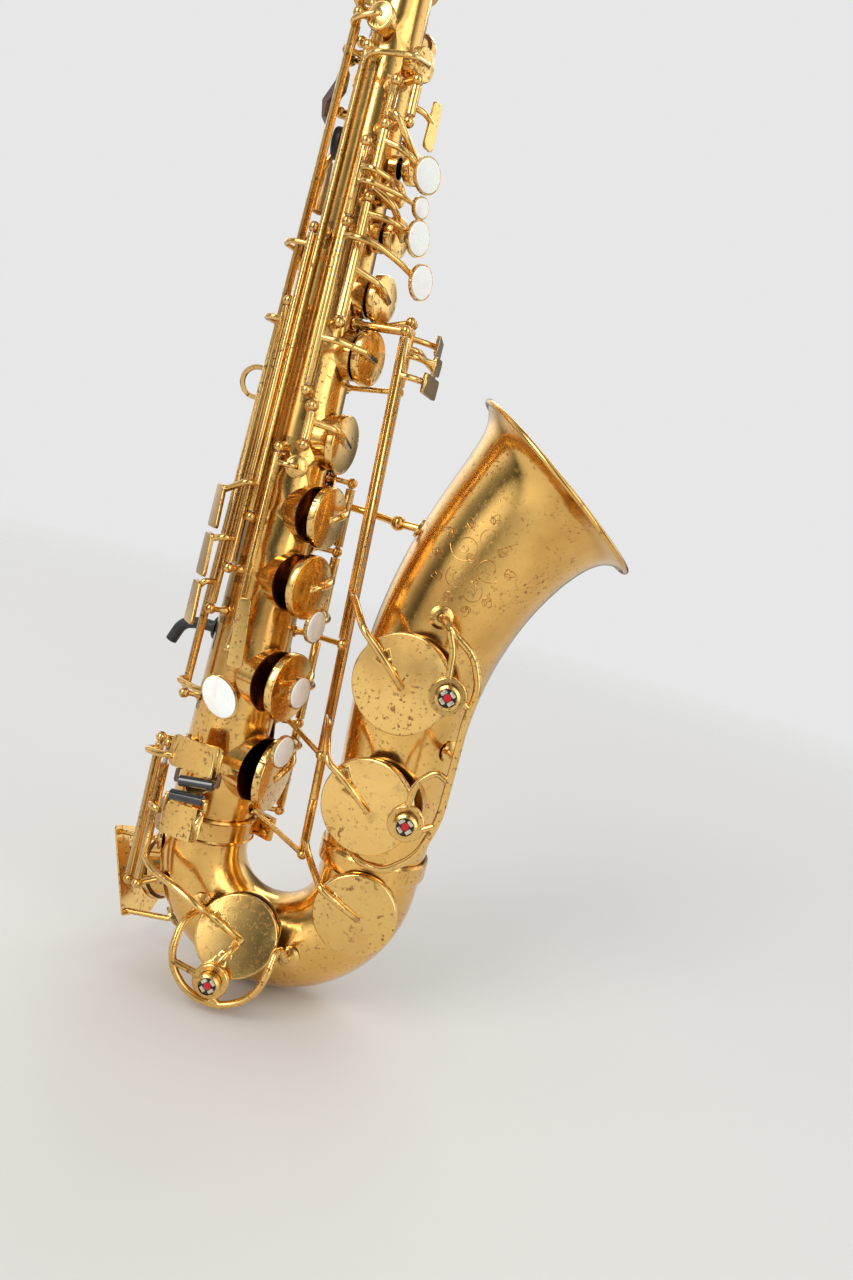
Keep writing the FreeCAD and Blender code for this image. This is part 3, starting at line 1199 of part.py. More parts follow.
def neckOctave():
    """Ring round the neck's foot and the lever that lifts the pad off the neck's vent."""
    ringAt = neckFoot + 11.5
    ring = Part.makeTorus(18.6, 1.3, Vector(0, 0, ringAt), Vector(0, 0, 1))

    def above(run, lift):
        point, lean = neckPoint(run)
        angle = math.radians(lean)
        up = Vector(math.cos(angle), 0, -math.sin(angle))
        return point + up * lift, up
    pivot, up = above(60, 17.2)
    vent, ventUp = above(96, 9.6)
    cap = turned([(0, 0.3), (4.2, 0.3), (4.2, 2.4), (3.2, 3.4, 3.9, 3.1), (0, 3.6)], along(vent, ventUp))
    arms = [pipe([vent + ventUp * 2.6, above(84, 14.2)[0], above(72, 16.8)[0], pivot, above(46, 18.6)[0],
                  above(28, 17.6)[0], Vector(18.6, 0, ringAt)], 1.7)]
    hub = rod(pivot - Vector(0, 5, 0), pivot + Vector(0, 5, 0), 2.4)
    body = ring.fuse([cap, hub, *arms]).cut(rod(pivot - Vector(0, 8, 0), pivot + Vector(0, 8, 0),
                                                size("hingeBore")))
    feature("neck_octave_key", [body])
    hinges["neck_octave_key"] = (pivot - origin, Vector(0, 1, 0), 3.2)
    base, baseUp = above(60, 10.2)
    cheeks = [Part.makeBox(5, 1.6, 9.4, Vector(-2.5, y, 0)) for y in (-7.0, 5.4)]
    plateBase = Part.makeBox(5, 14, 1.2, Vector(-2.5, -7, 0))
    saddle = plateBase.fuse(cheeks)
    saddle.Placement = along(base, baseUp)
    pin = rod(pivot - Vector(0, 7.4, 0), pivot + Vector(0, 7.4, 0), size("rodRadius"))
    vent_ = Part.makeCylinder(2.6, 2.4, above(96, 7.4)[0], ventUp)
    feature("neck_saddle", [saddle.fuse(pin), vent_])


bodyTube()
bow()
bell()
posts()
bands()
brace()
strapRing()
thumbParts()
guards()
bumpers()
needles()
lowerStack()
upperStack()
sideKeys()
palmKeys()
octaveKeys()
tableKeys()
fingerKeys()
receiver()
neck()
neckOctave()
mouthpiece()
doc.recompute()

faults = [item.Name for item in doc.Objects if {"Invalid", "Error"} & set(item.State)]
for item in nodes:
    if item.Shape.isNull() or not item.Shape.isValid() or not item.Shape.Solids:
        faults.append(item.Label)
if faults:
    raise RuntimeError(f"these objects failed: {faults}")

os.makedirs("parts", exist_ok=True)
for item in nodes:
    item.Shape.exportStep(f"parts/{item.Label}.step")
print(len(nodes), "sub-parts in parts/")
for name, (point, axis, travel) in hinges.items():
    place = ", ".join(f"{value / 1000:.5f}" for value in point)
    turn = ", ".join(f"{value:.5f}" for value in axis)
    print(f"{name}: at ({place}) m about ({turn}), {travel} degrees")
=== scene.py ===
import bmesh
import bpy
import json
import math
from mathutils import Matrix, Vector

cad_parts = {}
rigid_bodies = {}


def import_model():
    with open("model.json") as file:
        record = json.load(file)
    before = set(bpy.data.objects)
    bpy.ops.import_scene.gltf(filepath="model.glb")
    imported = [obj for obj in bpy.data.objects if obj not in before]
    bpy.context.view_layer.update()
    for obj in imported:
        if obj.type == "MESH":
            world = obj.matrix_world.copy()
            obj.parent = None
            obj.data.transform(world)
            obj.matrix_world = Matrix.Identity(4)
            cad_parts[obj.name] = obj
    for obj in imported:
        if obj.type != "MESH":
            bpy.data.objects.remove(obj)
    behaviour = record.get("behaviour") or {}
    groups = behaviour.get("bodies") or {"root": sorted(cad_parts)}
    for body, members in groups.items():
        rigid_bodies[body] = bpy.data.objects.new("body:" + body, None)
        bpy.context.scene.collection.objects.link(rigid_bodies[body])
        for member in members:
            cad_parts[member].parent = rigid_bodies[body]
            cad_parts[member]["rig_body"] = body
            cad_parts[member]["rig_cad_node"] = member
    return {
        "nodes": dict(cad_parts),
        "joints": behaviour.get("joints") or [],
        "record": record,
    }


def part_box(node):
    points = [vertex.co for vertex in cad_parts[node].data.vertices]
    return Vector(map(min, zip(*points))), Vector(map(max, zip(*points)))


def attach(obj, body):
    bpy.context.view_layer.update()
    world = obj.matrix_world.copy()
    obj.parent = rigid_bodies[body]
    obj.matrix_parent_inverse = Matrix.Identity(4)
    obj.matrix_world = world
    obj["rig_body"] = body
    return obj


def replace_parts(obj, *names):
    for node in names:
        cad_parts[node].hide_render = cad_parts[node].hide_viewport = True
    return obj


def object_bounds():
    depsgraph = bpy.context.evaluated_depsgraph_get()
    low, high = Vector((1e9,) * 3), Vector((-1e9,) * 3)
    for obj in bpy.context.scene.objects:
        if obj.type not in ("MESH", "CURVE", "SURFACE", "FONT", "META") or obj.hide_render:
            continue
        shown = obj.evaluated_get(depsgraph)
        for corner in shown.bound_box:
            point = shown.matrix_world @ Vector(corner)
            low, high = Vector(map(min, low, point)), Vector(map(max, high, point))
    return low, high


for spare in ("Cube", "Light", "Camera"):
    if spare in bpy.data.objects:
        bpy.data.objects.remove(bpy.data.objects[spare])

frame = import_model()
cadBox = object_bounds()
nodes = frame["nodes"]

bodyOf = {}
for bodyName, members in frame["record"]["behaviour"]["bodies"].items():
    for member in members:
        bodyOf[member] = bodyName
slotOf = {row["node"]: row["material_slot"] for row in frame["record"]["subparts"]}
swivel = [joint for joint in frame["joints"] if joint["name"] == "neck_swivel"][0]
tubeX = swivel["pos_m"][0]  # the body tube's axis is x = tubeX, y = 0
tubeLow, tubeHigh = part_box("body_tube")
tubeSize = {"foot": 0.0248, "head": 0.0137}  # outer radii


def tubeRadius(z):
    share = (z - tubeLow.z) / (tubeHigh.z - tubeLow.z)
    return tubeSize["foot"] + (tubeSize["head"] - tubeSize["foot"]) * share


def onTube(azimuth, lift, z):  # azimuth 0 faces the bell, 90 the player's right
    angle = math.radians(azimuth)
    radius = tubeRadius(z) + lift
    return Vector((tubeX + radius * math.cos(angle), -radius * math.sin(angle), z))


def newFinish(name):
    material = bpy.data.materials.new(name)
    material.use_nodes = True
    tree = material.node_tree
    return material, tree, tree.nodes["Principled BSDF"]


def objectPlace(tree, stretch=(1, 1, 1)):
    place = tree.nodes.new("ShaderNodeTexCoord")
    mapping = tree.nodes.new("ShaderNodeMapping")
    mapping.inputs["Scale"].default_value = stretch
    tree.links.new(place.outputs["Object"], mapping.inputs["Vector"])
    return mapping.outputs["Vector"]


def noise(tree, place, scale, detail=4, rough=0.55):
    node = tree.nodes.new("ShaderNodeTexNoise")
    node.inputs["Scale"].default_value = scale
    node.inputs["Detail"].default_value = detail
    node.inputs["Roughness"].default_value = rough
    tree.links.new(place, node.inputs["Vector"])
    return node.outputs["Fac"]


def cells(tree, place, scale, feature="F1"):
    node = tree.nodes.new("ShaderNodeTexVoronoi")
    node.feature = feature
    node.inputs["Scale"].default_value = scale
    tree.links.new(place, node.inputs["Vector"])
    return node.outputs["Distance"]


def shade(tree, value, stops):  # stops are (position, colour or grey)
    node = tree.nodes.new("ShaderNodeValToRGB")
    ramp = node.color_ramp
    while len(ramp.elements) < len(stops):
        ramp.elements.new(0.5)
    for element, (position, tint) in zip(ramp.elements, stops):
        element.position = position
        if not isinstance(tint, tuple):
            tint = (tint, tint, tint)
        element.color = (*tint, 1)
    tree.links.new(value, node.inputs["Fac"])
    return node.outputs["Color"]


def blendBy(tree, share, first, second, mode="MIX"):
    node = tree.nodes.new("ShaderNodeMix")
    node.data_type = "RGBA"
    node.blend_type = mode
    tree.links.new(share, node.inputs["Factor"])
    for socket, source in ((node.inputs[6], first), (node.inputs[7], second)):
        if isinstance(source, tuple):
            socket.default_value = (*source, 1)
        else:
            tree.links.new(source, socket)
    return node.outputs[2]


def times(tree, first, second):
    node = tree.nodes.new("ShaderNodeMath")
    node.operation = "MULTIPLY"
    tree.links.new(first, node.inputs[0])
    if isinstance(second, (int, float)):
        node.inputs[1].default_value = second
    else:
        tree.links.new(second, node.inputs[1])
    return node.outputs[0]


def relief(tree, surface, height, strength, depth):
    node = tree.nodes.new("ShaderNodeBump")
    node.inputs["Strength"].default_value = strength
    node.inputs["Distance"].default_value = depth
    tree.links.new(height, node.inputs["Height"])
    tree.links.new(node.outputs["Normal"], surface.inputs["Normal"])


def goldLacquer(name, gold, deep, wear, rough):
    material, tree, surface = newFinish(name)
    place = objectPlace(tree)
    cloud = noise(tree, place, 16, 5)
    tint = shade(tree, cloud, ((0.30, deep), (0.52, gold), (0.75, tuple(c * 1.06 for c in gold))))
    fleck = noise(tree, place, 430, 3, 0.6)
    patch = noise(tree, place, 34, 4, 0.65)
    spots = times(tree, shade(tree, fleck, ((0.575, 0.0), (0.64, 1.0))),
                  shade(tree, patch, ((0.47 - 0.12 * wear, 0.0), (0.62 - 0.08 * wear, 1.0))))
    worn = times(tree, spots, 0.45 + 0.5 * wear)
    tint = blendBy(tree, worn, tint, (0.24, 0.095, 0.022))
    tree.links.new(tint, surface.inputs["Base Color"])
    surface.inputs["Metallic"].default_value = 1.0
    surface.inputs["Coat Weight"].default_value = 0.45
    surface.inputs["Coat Roughness"].default_value = 0.07
    surface.inputs["Coat IOR"].default_value = 1.48
    haze = noise(tree, place, 90, 6, 0.7)
    dull = shade(tree, haze, ((0.35, rough * 0.75), (0.70, rough * 1.45)))
    tree.links.new(blendBy(tree, worn, dull, (0.46, 0.46, 0.46)), surface.inputs["Roughness"])
    relief(tree, surface, blendBy(tree, spots, haze, (0.0, 0.0, 0.0)), 0.10, 0.0004)
    return material


def plainMetal(name, tint, rough, grain):
    material, tree, surface = newFinish(name)
    place = objectPlace(tree, grain)
    lines = noise(tree, place, 260, 4)
    tree.links.new(shade(tree, lines, ((0.3, tuple(c * 0.8 for c in tint)), (0.7, tint))),
                   surface.inputs["Base Color"])
    tree.links.new(shade(tree, lines, ((0.3, rough * 0.7), (0.7, rough * 1.4))), surface.inputs["Roughness"])
    surface.inputs["Metallic"].default_value = 1.0
    relief(tree, surface, lines, 0.08, 0.0002)
    return material


def nacre():
    material, tree, surface = newFinish("nacre")
    place = objectPlace(tree, (1, 1, 0.45))
    drift = noise(tree, place, 120, 3, 0.6)
    tint = shade(tree, drift, ((0.25, (0.72, 0.70, 0.66)), (0.42, (0.86, 0.82, 0.80)),
                               (0.55, (0.80, 0.86, 0.82)), (0.72, (0.92, 0.90, 0.86))))
    tree.links.new(tint, surface.inputs["Base Color"])
    tree.links.new(shade(tree, drift, ((0.3, 0.16), (0.7, 0.34))), surface.inputs["Roughness"])
    surface.inputs["Coat Weight"].default_value = 0.7
    surface.inputs["Coat Roughness"].default_value = 0.08
    surface.inputs["Specular IOR Level"].default_value = 0.6
    relief(tree, surface, drift, 0.05, 0.0003)
    return material


def hide(name, light, dark, scale, rough, depth):
    material, tree, surface = newFinish(name)
    place = objectPlace(tree)
    grain = cells(tree, place, scale)
    cloud = noise(tree, place, scale * 0.12, 4)
    tree.links.new(shade(tree, cloud, ((0.3, dark), (0.7, light))), surface.inputs["Base Color"])
    tree.links.new(shade(tree, grain, ((0.0, rough * 1.15), (0.6, rough * 0.8))), surface.inputs["Roughness"])
    relief(tree, surface, grain, 0.35, depth)
    return material


def glossBlack(name, tint, rough, coat=0.3):
    material, tree, surface = newFinish(name)
    place = objectPlace(tree)
    scuff = noise(tree, place, 300, 6, 0.7)
    tree.links.new(shade(tree, scuff, ((0.35, tint), (0.75, tuple(c * 1.7 + 0.006 for c in tint)))),
                   surface.inputs["Base Color"])
    tree.links.new(shade(tree, scuff, ((0.3, rough * 0.7), (0.75, rough * 1.6))), surface.inputs["Roughness"])
    surface.inputs["Coat Weight"].default_value = coat
    relief(tree, surface, scuff, 0.05, 0.0002)
    return material


def felt(name, tint):
    material, tree, surface = newFinish(name)
    place = objectPlace(tree)
    fuzz = noise(tree, place, 1900, 6, 0.8)
    tree.links.new(shade(tree, fuzz, ((0.3, tuple(c * 0.55 for c in tint)), (0.7, tint))),
                   surface.inputs["Base Color"])
    surface.inputs["Roughness"].default_value = 1.0
    surface.inputs["Sheen Weight"].default_value = 0.5
    surface.inputs["Specular IOR Level"].default_value = 0.1
    relief(tree, surface, fuzz, 0.6, 0.0004)
    return material


def corkBark():
    material, tree, surface = newFinish("corkBark")
    place = objectPlace(tree)
    lumps = cells(tree, place, 420)
    flecks = noise(tree, place, 700, 4, 0.7)
    tint = shade(tree, lumps, ((0.0, (0.30, 0.16, 0.07)), (0.25, (0.58, 0.37, 0.19)),
                               (0.7, (0.70, 0.48, 0.27))))
    dark = shade(tree, flecks, ((0.60, 0.0), (0.68, 0.8)))
    tree.links.new(blendBy(tree, dark, tint, (0.16, 0.08, 0.035)), surface.inputs["Base Color"])
    surface.inputs["Roughness"].default_value = 0.85
    relief(tree, surface, lumps, 0.4, 0.0004)
    return material


def caneGrain():
    material, tree, surface = newFinish("caneGrain")
    place = objectPlace(tree, (0.06, 1, 1))
    fibre = noise(tree, place, 1500, 5, 0.6)
    tree.links.new(shade(tree, fibre, ((0.3, (0.58, 0.42, 0.18)), (0.7, (0.83, 0.70, 0.42)))),
                   surface.inputs["Base Color"])
    surface.inputs["Roughness"].default_value = 0.55
    relief(tree, surface, fibre, 0.2, 0.0003)
    return material


lacquer = {  # gold, deeper gold, wear, roughness
    "shell": ((0.83, 0.50, 0.135), (0.60, 0.31, 0.07), 0.55, 0.16),
    "keys": ((0.86, 0.55, 0.17), (0.66, 0.36, 0.09), 0.8, 0.17),
    "fittings": ((0.80, 0.50, 0.15), (0.56, 0.30, 0.07), 1.0, 0.21),
    "engraving": ((0.50, 0.25, 0.06), (0.34, 0.16, 0.04), 0.6, 0.34),
}
finishes = {
    "shell": goldLacquer("shellLacquer", *lacquer["shell"]),
    "keys": goldLacquer("keyLacquer", *lacquer["keys"]),
    "fittings": goldLacquer("fittingLacquer", *lacquer["fittings"]),
    "engraving": goldLacquer("engravedBrass", *lacquer["engraving"]),
    "steel": plainMetal("groundSteel", (0.60, 0.56, 0.50), 0.26, (1, 1, 0.1)),
    "blued": plainMetal("bluedSteel", (0.10, 0.13, 0.24), 0.28, (0.2, 1, 1)),
    "silver": plainMetal("paleClaw", (0.80, 0.74, 0.58), 0.30, (1, 1, 1)),
    "pearl": nacre(),
    "leather": hide("padLeather", (0.20, 0.095, 0.045), (0.085, 0.036, 0.018), 900, 0.55, 0.0003),
    "redFelt": felt("redFelt", (0.62, 0.018, 0.022)),
    "darkFelt": felt("blackFelt", (0.02, 0.02, 0.022)),
    "cork": corkBark(),
    "cane": caneGrain(),
    "ebonite": glossBlack("ebonite", (0.012, 0.012, 0.013), 0.16, 0.5),
    "roller": glossBlack("rollerPlastic", (0.010, 0.010, 0.011), 0.12, 0.6),
    "matt": glossBlack("thumbPlastic", (0.014, 0.014, 0.015), 0.42, 0.0),
    "darkLever": glossBlack("leverBrown", (0.060, 0.020, 0.010), 0.20, 0.5),
}
finishOfSlot = {
    "body_lacquer": "shell", "fitting_lacquer": "fittings", "key_lacquer": "keys", "rod_steel": "steel",
    "needle_steel": "blued", "screw_brass": "fittings", "ligature_metal": "fittings", "thumb_plastic": "matt",
    "felt": "redFelt", "cork": "cork", "ebonite": "ebonite", "cane": "cane", "roller_plastic": "roller",
    "dark_lever": "darkLever",
}


def paint(piece, finish):
    piece.data.materials.clear()
    piece.data.materials.append(finishes[finish])


for name, node in nodes.items():
    paint(node, finishOfSlot[slotOf[name]])
print("finishes ready on", len(nodes), "nodes")


def deselect():
    bpy.ops.object.select_all(action="DESELECT")


def choose(piece):
    deselect()
    piece.select_set(True)
    bpy.context.view_layer.objects.active = piece


def copyOf(node, name):
    piece = nodes[node].copy()
    piece.data = nodes[node].data.copy()
    piece.name = name
    piece.parent = None
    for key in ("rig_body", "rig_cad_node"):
        if key in piece:
            del piece[key]
    bpy.context.scene.collection.objects.link(piece)
    choose(piece)
    bpy.ops.object.mode_set(mode="EDIT")
    bpy.ops.mesh.select_all(action="SELECT")
    bpy.ops.mesh.remove_doubles(threshold=0.000002)
    bpy.ops.object.mode_set(mode="OBJECT")
    return piece


def loosePieces(node):
    copyOf(node, node + "_loose")
    bpy.ops.object.mode_set(mode="EDIT")
    bpy.ops.mesh.select_all(action="SELECT")
    bpy.ops.mesh.separate(type="LOOSE")
    bpy.ops.object.mode_set(mode="OBJECT")
    return list(bpy.context.selected_objects)


def settle(piece, name, body, finish, smooth=35):
    choose(piece)
    bpy.ops.object.transform_apply(location=True, rotation=True, scale=True)
    bpy.ops.object.shade_smooth_by_angle(angle=math.radians(smooth))
    piece.name = name
    paint(piece, finish)
    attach(piece, body)
    deselect()
    return piece


def lookAlong(direction):
    return direction.to_track_quat("Z", "Y").to_euler()


def joinAll(parts):
    choose(parts[0])
    for part in parts[1:]:
        part.select_set(True)
    if len(parts) > 1:
        bpy.ops.object.join()
    return bpy.context.object


def disc(centre, direction, radius, height, sides=40):
    deselect()
    bpy.ops.mesh.primitive_cylinder_add(vertices=sides, radius=radius, depth=height, location=centre,
                                        rotation=lookAlong(direction))
    return bpy.context.object


def topFaces(piece):  # the face that points along the primitive's own +Z
    bpy.ops.object.mode_set(mode="OBJECT")
    for polygon in piece.data.polygons:
        polygon.select = polygon.normal.z > 0.9
    bpy.ops.object.mode_set(mode="EDIT")
    bpy.ops.mesh.select_mode(type="FACE")


pearlKeys = ("d_key", "e_key", "f_key", "g_key", "a_key", "b_key", "bis_key", "high_fsharp_key")
padKeys = [name for name in nodes if slotOf[name] == "key_lacquer" and name not in
           ("front_f_key", "octave_rocker", "gsharp_touch", "csharp_touch", "neck_octave_key")]


def extents(piece):
    points = [vertex.co for vertex in piece.data.vertices]
    return (Vector([min(p[axis] for p in points) for axis in range(3)]),
            Vector([max(p[axis] for p in points) for axis in range(3)]))


def centreOf(piece):
    low, high = extents(piece)
    return (low + high) / 2, (high - low).length


def discAxis(piece):  # centre, axis, radius and thickness of a flat round piece
    mesh = bmesh.new()
    mesh.from_mesh(piece.data)
    axis = Vector()
    for face in mesh.faces:
        normal = face.normal
        if axis.length and normal.dot(axis) < 0:
            normal = -normal
        axis += normal * face.calc_area() ** 2
    axis.normalize()
    middle, _ = centreOf(piece)
    along = [(vertex.co - middle).dot(axis) for vertex in mesh.verts]
    radius = max(((v.co - middle) - axis * (v.co - middle).dot(axis)).length for v in mesh.verts)
    mesh.free()
    return middle + axis * (max(along) + min(along)) / 2, axis, radius, max(along) - min(along)


def towardsShell(name, centre, axis):  # the way that a pad faces
    if name in ("low_bb_key", "low_b_key", "csharp_key", "low_c_key"):
        return axis if axis.y > 0 else -axis
    if name == "low_eb_key":
        return axis if axis.x > 0 else -axis
    inward = Vector((tubeX - centre.x, -centre.y, 0))
    return axis if axis.dot(inward) > 0 else -axis


# Brass tone booster on the face of each larger pad: a dished plate and its rivet.
booster = {"share": 0.52, "height": 0.0007, "rim": 0.06, "slope": 0.22, "dish": 0.00035, "rivet": 0.0016,
           "smallestPad": 0.009}


def resonator(name, centre, facing, radius, thick):
    face = centre + facing * (thick / 2)
    dish = disc(face + facing * 0.0001, facing, radius * booster["share"], booster["height"])
    choose(dish)
    bpy.ops.object.mode_set(mode="EDIT")
    topFaces(dish)
    bpy.ops.mesh.inset(thickness=radius * booster["rim"], depth=0.0002)
    bpy.ops.mesh.inset(thickness=radius * booster["slope"], depth=-booster["dish"])
    bpy.ops.object.mode_set(mode="OBJECT")
    rivet = disc(face + facing * 0.0005, facing, booster["rivet"], 0.0008, 20)
    choose(rivet)
    bpy.ops.object.mode_set(mode="EDIT")
    topFaces(rivet)
    bpy.ops.mesh.inset(thickness=booster["rivet"] * 0.45, depth=0.0002)
    bpy.ops.object.mode_set(mode="OBJECT")
    settle(joinAll([dish, rivet]), name + "_resonator", bodyOf[name], "fittings")


def standOff(part):  # how far a loose piece stands off the tube's wall
    centre = centreOf(part)[0]
    return (centre - Vector((tubeX, 0, centre.z))).length - tubeRadius(centre.z)


def splitKey(name):
    parts = sorted(loosePieces(name), key=lambda part: -centreOf(part)[1])
    brass, rest = parts[0], parts[1:]
    pearls = []
    if name in pearlKeys and rest:
        pearls = [max(rest, key=standOff)]
    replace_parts(settle(brass, name + "_brass", bodyOf[name], "keys"), name)
    for part in rest:
        if part in pearls:
            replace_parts(settle(part, name + "_pearl", bodyOf[name], "pearl"), name)
        else:
            centre, axis, radius, thick = discAxis(part)
            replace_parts(settle(part, name + "_pad", bodyOf[name], "leather"), name)
            if radius > booster["smallestPad"]:
                resonator(name, centre, towardsShell(name, centre, axis), radius, thick)


for name in padKeys:
    splitKey(name)
print("keys split:", len(padKeys))


def remove(pieces):
    for piece in pieces:
        bpy.data.objects.remove(piece)


# The adjustable bumpers of the three bell key guards: red felt in a black ring, four pale claws.
bumper = {"felt": 0.0021, "ring": 0.0045, "clawLong": 0.0020, "clawWide": 0.0035, "clawAt": 0.0033}
playersRight = Vector((0, -1, 0))


def bumperFace(index, low, high):
    middle = (low + high) / 2
    face = Vector((middle.x, low.y, middle.z))
    red = disc(face + playersRight * 0.0006, playersRight, bumper["felt"], 0.0014, 32)
    bpy.ops.object.mode_set(mode="EDIT")
    topFaces(red)
    bpy.ops.mesh.inset(thickness=0.0007, depth=0.0004)
    bpy.ops.mesh.inset(thickness=0.0007, depth=0.0001)
    bpy.ops.object.mode_set(mode="OBJECT")
    settle(red, "bumper_red_%d" % index, "instrument", "redFelt", 60)
    black = disc(face + playersRight * 0.0003, playersRight, bumper["ring"], 0.0010, 40)
    bpy.ops.object.mode_set(mode="EDIT")
    topFaces(black)
    bpy.ops.mesh.inset(thickness=0.0004, depth=0.0003)
    bpy.ops.mesh.inset(thickness=bumper["ring"] - bumper["felt"] - 0.0006, depth=-0.0002)
    bpy.ops.object.mode_set(mode="OBJECT")
    settle(black, "bumper_ring_%d" % index, "instrument", "darkFelt")
    claws = []
    for quarter in range(4):
        angle = math.radians(45 + 90 * quarter)
        spoke = Vector((math.cos(angle), 0, math.sin(angle)))
        deselect()
        bpy.ops.mesh.primitive_cube_add(size=1, rotation=(0, -angle, 0),
                                        location=face + spoke * bumper["clawAt"] + playersRight * 0.0010,
                                        scale=(bumper["clawLong"], 0.0008, bumper["clawWide"]))
        claw = bpy.context.object
        bpy.ops.object.transform_apply(location=False, rotation=False, scale=True)
        bpy.ops.object.mode_set(mode="EDIT")
        bpy.ops.mesh.select_all(action="SELECT")
        bpy.ops.mesh.bevel(offset=0.0003, segments=2)
        bpy.ops.object.mode_set(mode="OBJECT")
        claws.append(claw)
    settle(joinAll(claws), "bumper_claws_%d" % index, "instrument", "silver")


for index, part in enumerate(loosePieces("felt_bumpers")):
    low, high = extents(part)
    bumperFace(index, low, high)
    remove([part])
print("bumper faces set")


# Slotted heads of the pivot screws, one at each end of every rod.
screwHead = {"radius": 0.00155, "height": 0.0007, "slot": 0.00038, "reach": 0.0004}


def slottedHead(end, outwards):
    head = disc(end + outwards * (screwHead["height"] * 0.4), outwards, screwHead["radius"],
                screwHead["height"], 24)
    bpy.ops.object.mode_set(mode="EDIT")
    topFaces(head)
    bpy.ops.mesh.inset(thickness=0.00025, depth=0.00022)
    bpy.ops.object.mode_set(mode="OBJECT")
    deselect()
    bpy.ops.mesh.primitive_cube_add(size=1, location=end + outwards * (screwHead["height"] * 1.15),
                                    rotation=lookAlong(outwards),
                                    scale=(screwHead["slot"], screwHead["radius"] * 3, 0.0006))
    slot = bpy.context.object
    choose(head)
    cutter = head.modifiers.new("slot", "BOOLEAN")
    cutter.object = slot
    cutter.solver = "EXACT"
    bpy.ops.object.modifier_apply(modifier="slot")
    remove([slot])
    return head


def rodEnds(rod):  # the centres of its two end faces
    points = [vertex.co.copy() for vertex in rod.data.vertices]
    middle = sum(points, Vector()) / len(points)
    tip = max(points, key=lambda p: (p - middle).length)
    back = max(points, key=lambda p: (p - tip).length)
    axis = (tip - back).normalized()
    nearTip = [p for p in points if (p - tip).dot(axis) > -screwHead["reach"]]
    nearBack = [p for p in points if (p - back).dot(axis) < screwHead["reach"]]
    return sum(nearTip, Vector()) / len(nearTip), sum(nearBack, Vector()) / len(nearBack)


heads = []
for part in loosePieces("pivot_rods"):
    first, last = rodEnds(part)
    line = (first - last).normalized()
    heads += [slottedHead(first, line), slottedHead(last, -line)]
    remove([part])
settle(joinAll(heads), "pivot_screw_heads", "instrument", "fittings")
print("screw heads set:", len(heads))


# Ribs: the thin brass strips on the tube that the posts are soldered to.
rib = {"thick": 0.0007, "width": 0.0085}
ribRuns = (  # azimuth in degrees, lowest and highest height above the tube's foot
    (-14, 0.016, 0.228), (68, 0.293, 0.430), (84, 0.256, 0.396), (112, 0.184, 0.196), (112, 0.430, 0.444),
    (125, 0.152, 0.168), (125, 0.337, 0.352), (138, 0.128, 0.143), (138, 0.298, 0.314), (151, 0.076, 0.092),
    (151, 0.449, 0.463), (100, 0.110, 0.126), (100, 0.222, 0.237),
)


def ribPlate(azimuth, low, high):
    height = high - low
    middle = tubeLow.z + (low + high) / 2
    outside = onTube(azimuth, 0.004, middle)
    away = Vector((outside.x - tubeX, outside.y, 0)).normalized()
    deselect()
    bpy.ops.mesh.primitive_plane_add(size=1)
    strip = bpy.context.object
    up = Vector((0, 0, 1))
    lying = Matrix((away.cross(up), up, away)).transposed().to_quaternion()
    strip.matrix_world = Matrix.LocRotScale(outside, lying, Vector((rib["width"], height, 1)))
    choose(strip)
    bpy.ops.object.transform_apply(location=True, rotation=True, scale=True)
    bpy.ops.object.mode_set(mode="EDIT")
    bpy.ops.mesh.select_all(action="SELECT")
    bpy.ops.mesh.subdivide(number_cuts=11)
    bpy.ops.object.mode_set(mode="OBJECT")
    wrap = strip.modifiers.new("wrap", "SHRINKWRAP")
    wrap.target = nodes["body_tube"]
    wrap.wrap_method = "NEAREST_SURFACEPOINT"
    thick = strip.modifiers.new("thick", "SOLIDIFY")
    thick.thickness = rib["thick"]
    thick.offset = 1.0
    for modifier in ("wrap", "thick"):
        bpy.ops.object.modifier_apply(modifier=modifier)
    return strip


strips = [ribPlate(*run) for run in ribRuns]
settle(joinAll(strips), "post_ribs", "instrument", "fittings")
print("ribs set:", len(strips))


# A plain scroll engraved on the bell, on the player's right.
scroll = {"centre": (0.1105, 0.1945), "size": 0.026, "line": 0.00022, "wall": 0.00004}


def bellSpot(u, v):  # u towards the front, v up the bell, in shares of the scroll's size
    x = scroll["centre"][0] + tubeX + scroll["size"] * (u * 0.93 + v * 0.30)
    z = scroll["centre"][1] + tubeLow.z + scroll["size"] * (v * 0.93 - u * 0.30)
    hit, place, normal, _ = nodes["bell"].ray_cast(Vector((x, -0.2, z)), Vector((0, 1, 0)))
    return place + normal * scroll["wall"] if hit else None


def curl(u, v, radius, start, turns, sense=1, steps=22):
    points = []
    for step in range(steps + 1):
        share = step / steps
        angle = math.radians(start) + sense * share * turns * math.tau
        reach = radius * (1 - 0.82 * share)
        points.append((u + reach * math.cos(angle), v + reach * math.sin(angle)))
    return points


def leaf(u, v, angle, length, width):
    outline = []
    turn = math.radians(angle)
    for share, side in ((0, 0), (0.3, 0.7), (0.6, 0.85), (1.0, 0), (0.6, -0.5), (0.3, -0.6), (0, 0)):
        along, across = share * length, side * width
        outline.append((u + along * math.cos(turn) - across * math.sin(turn),
                        v + along * math.sin(turn) + across * math.cos(turn)))
    return outline


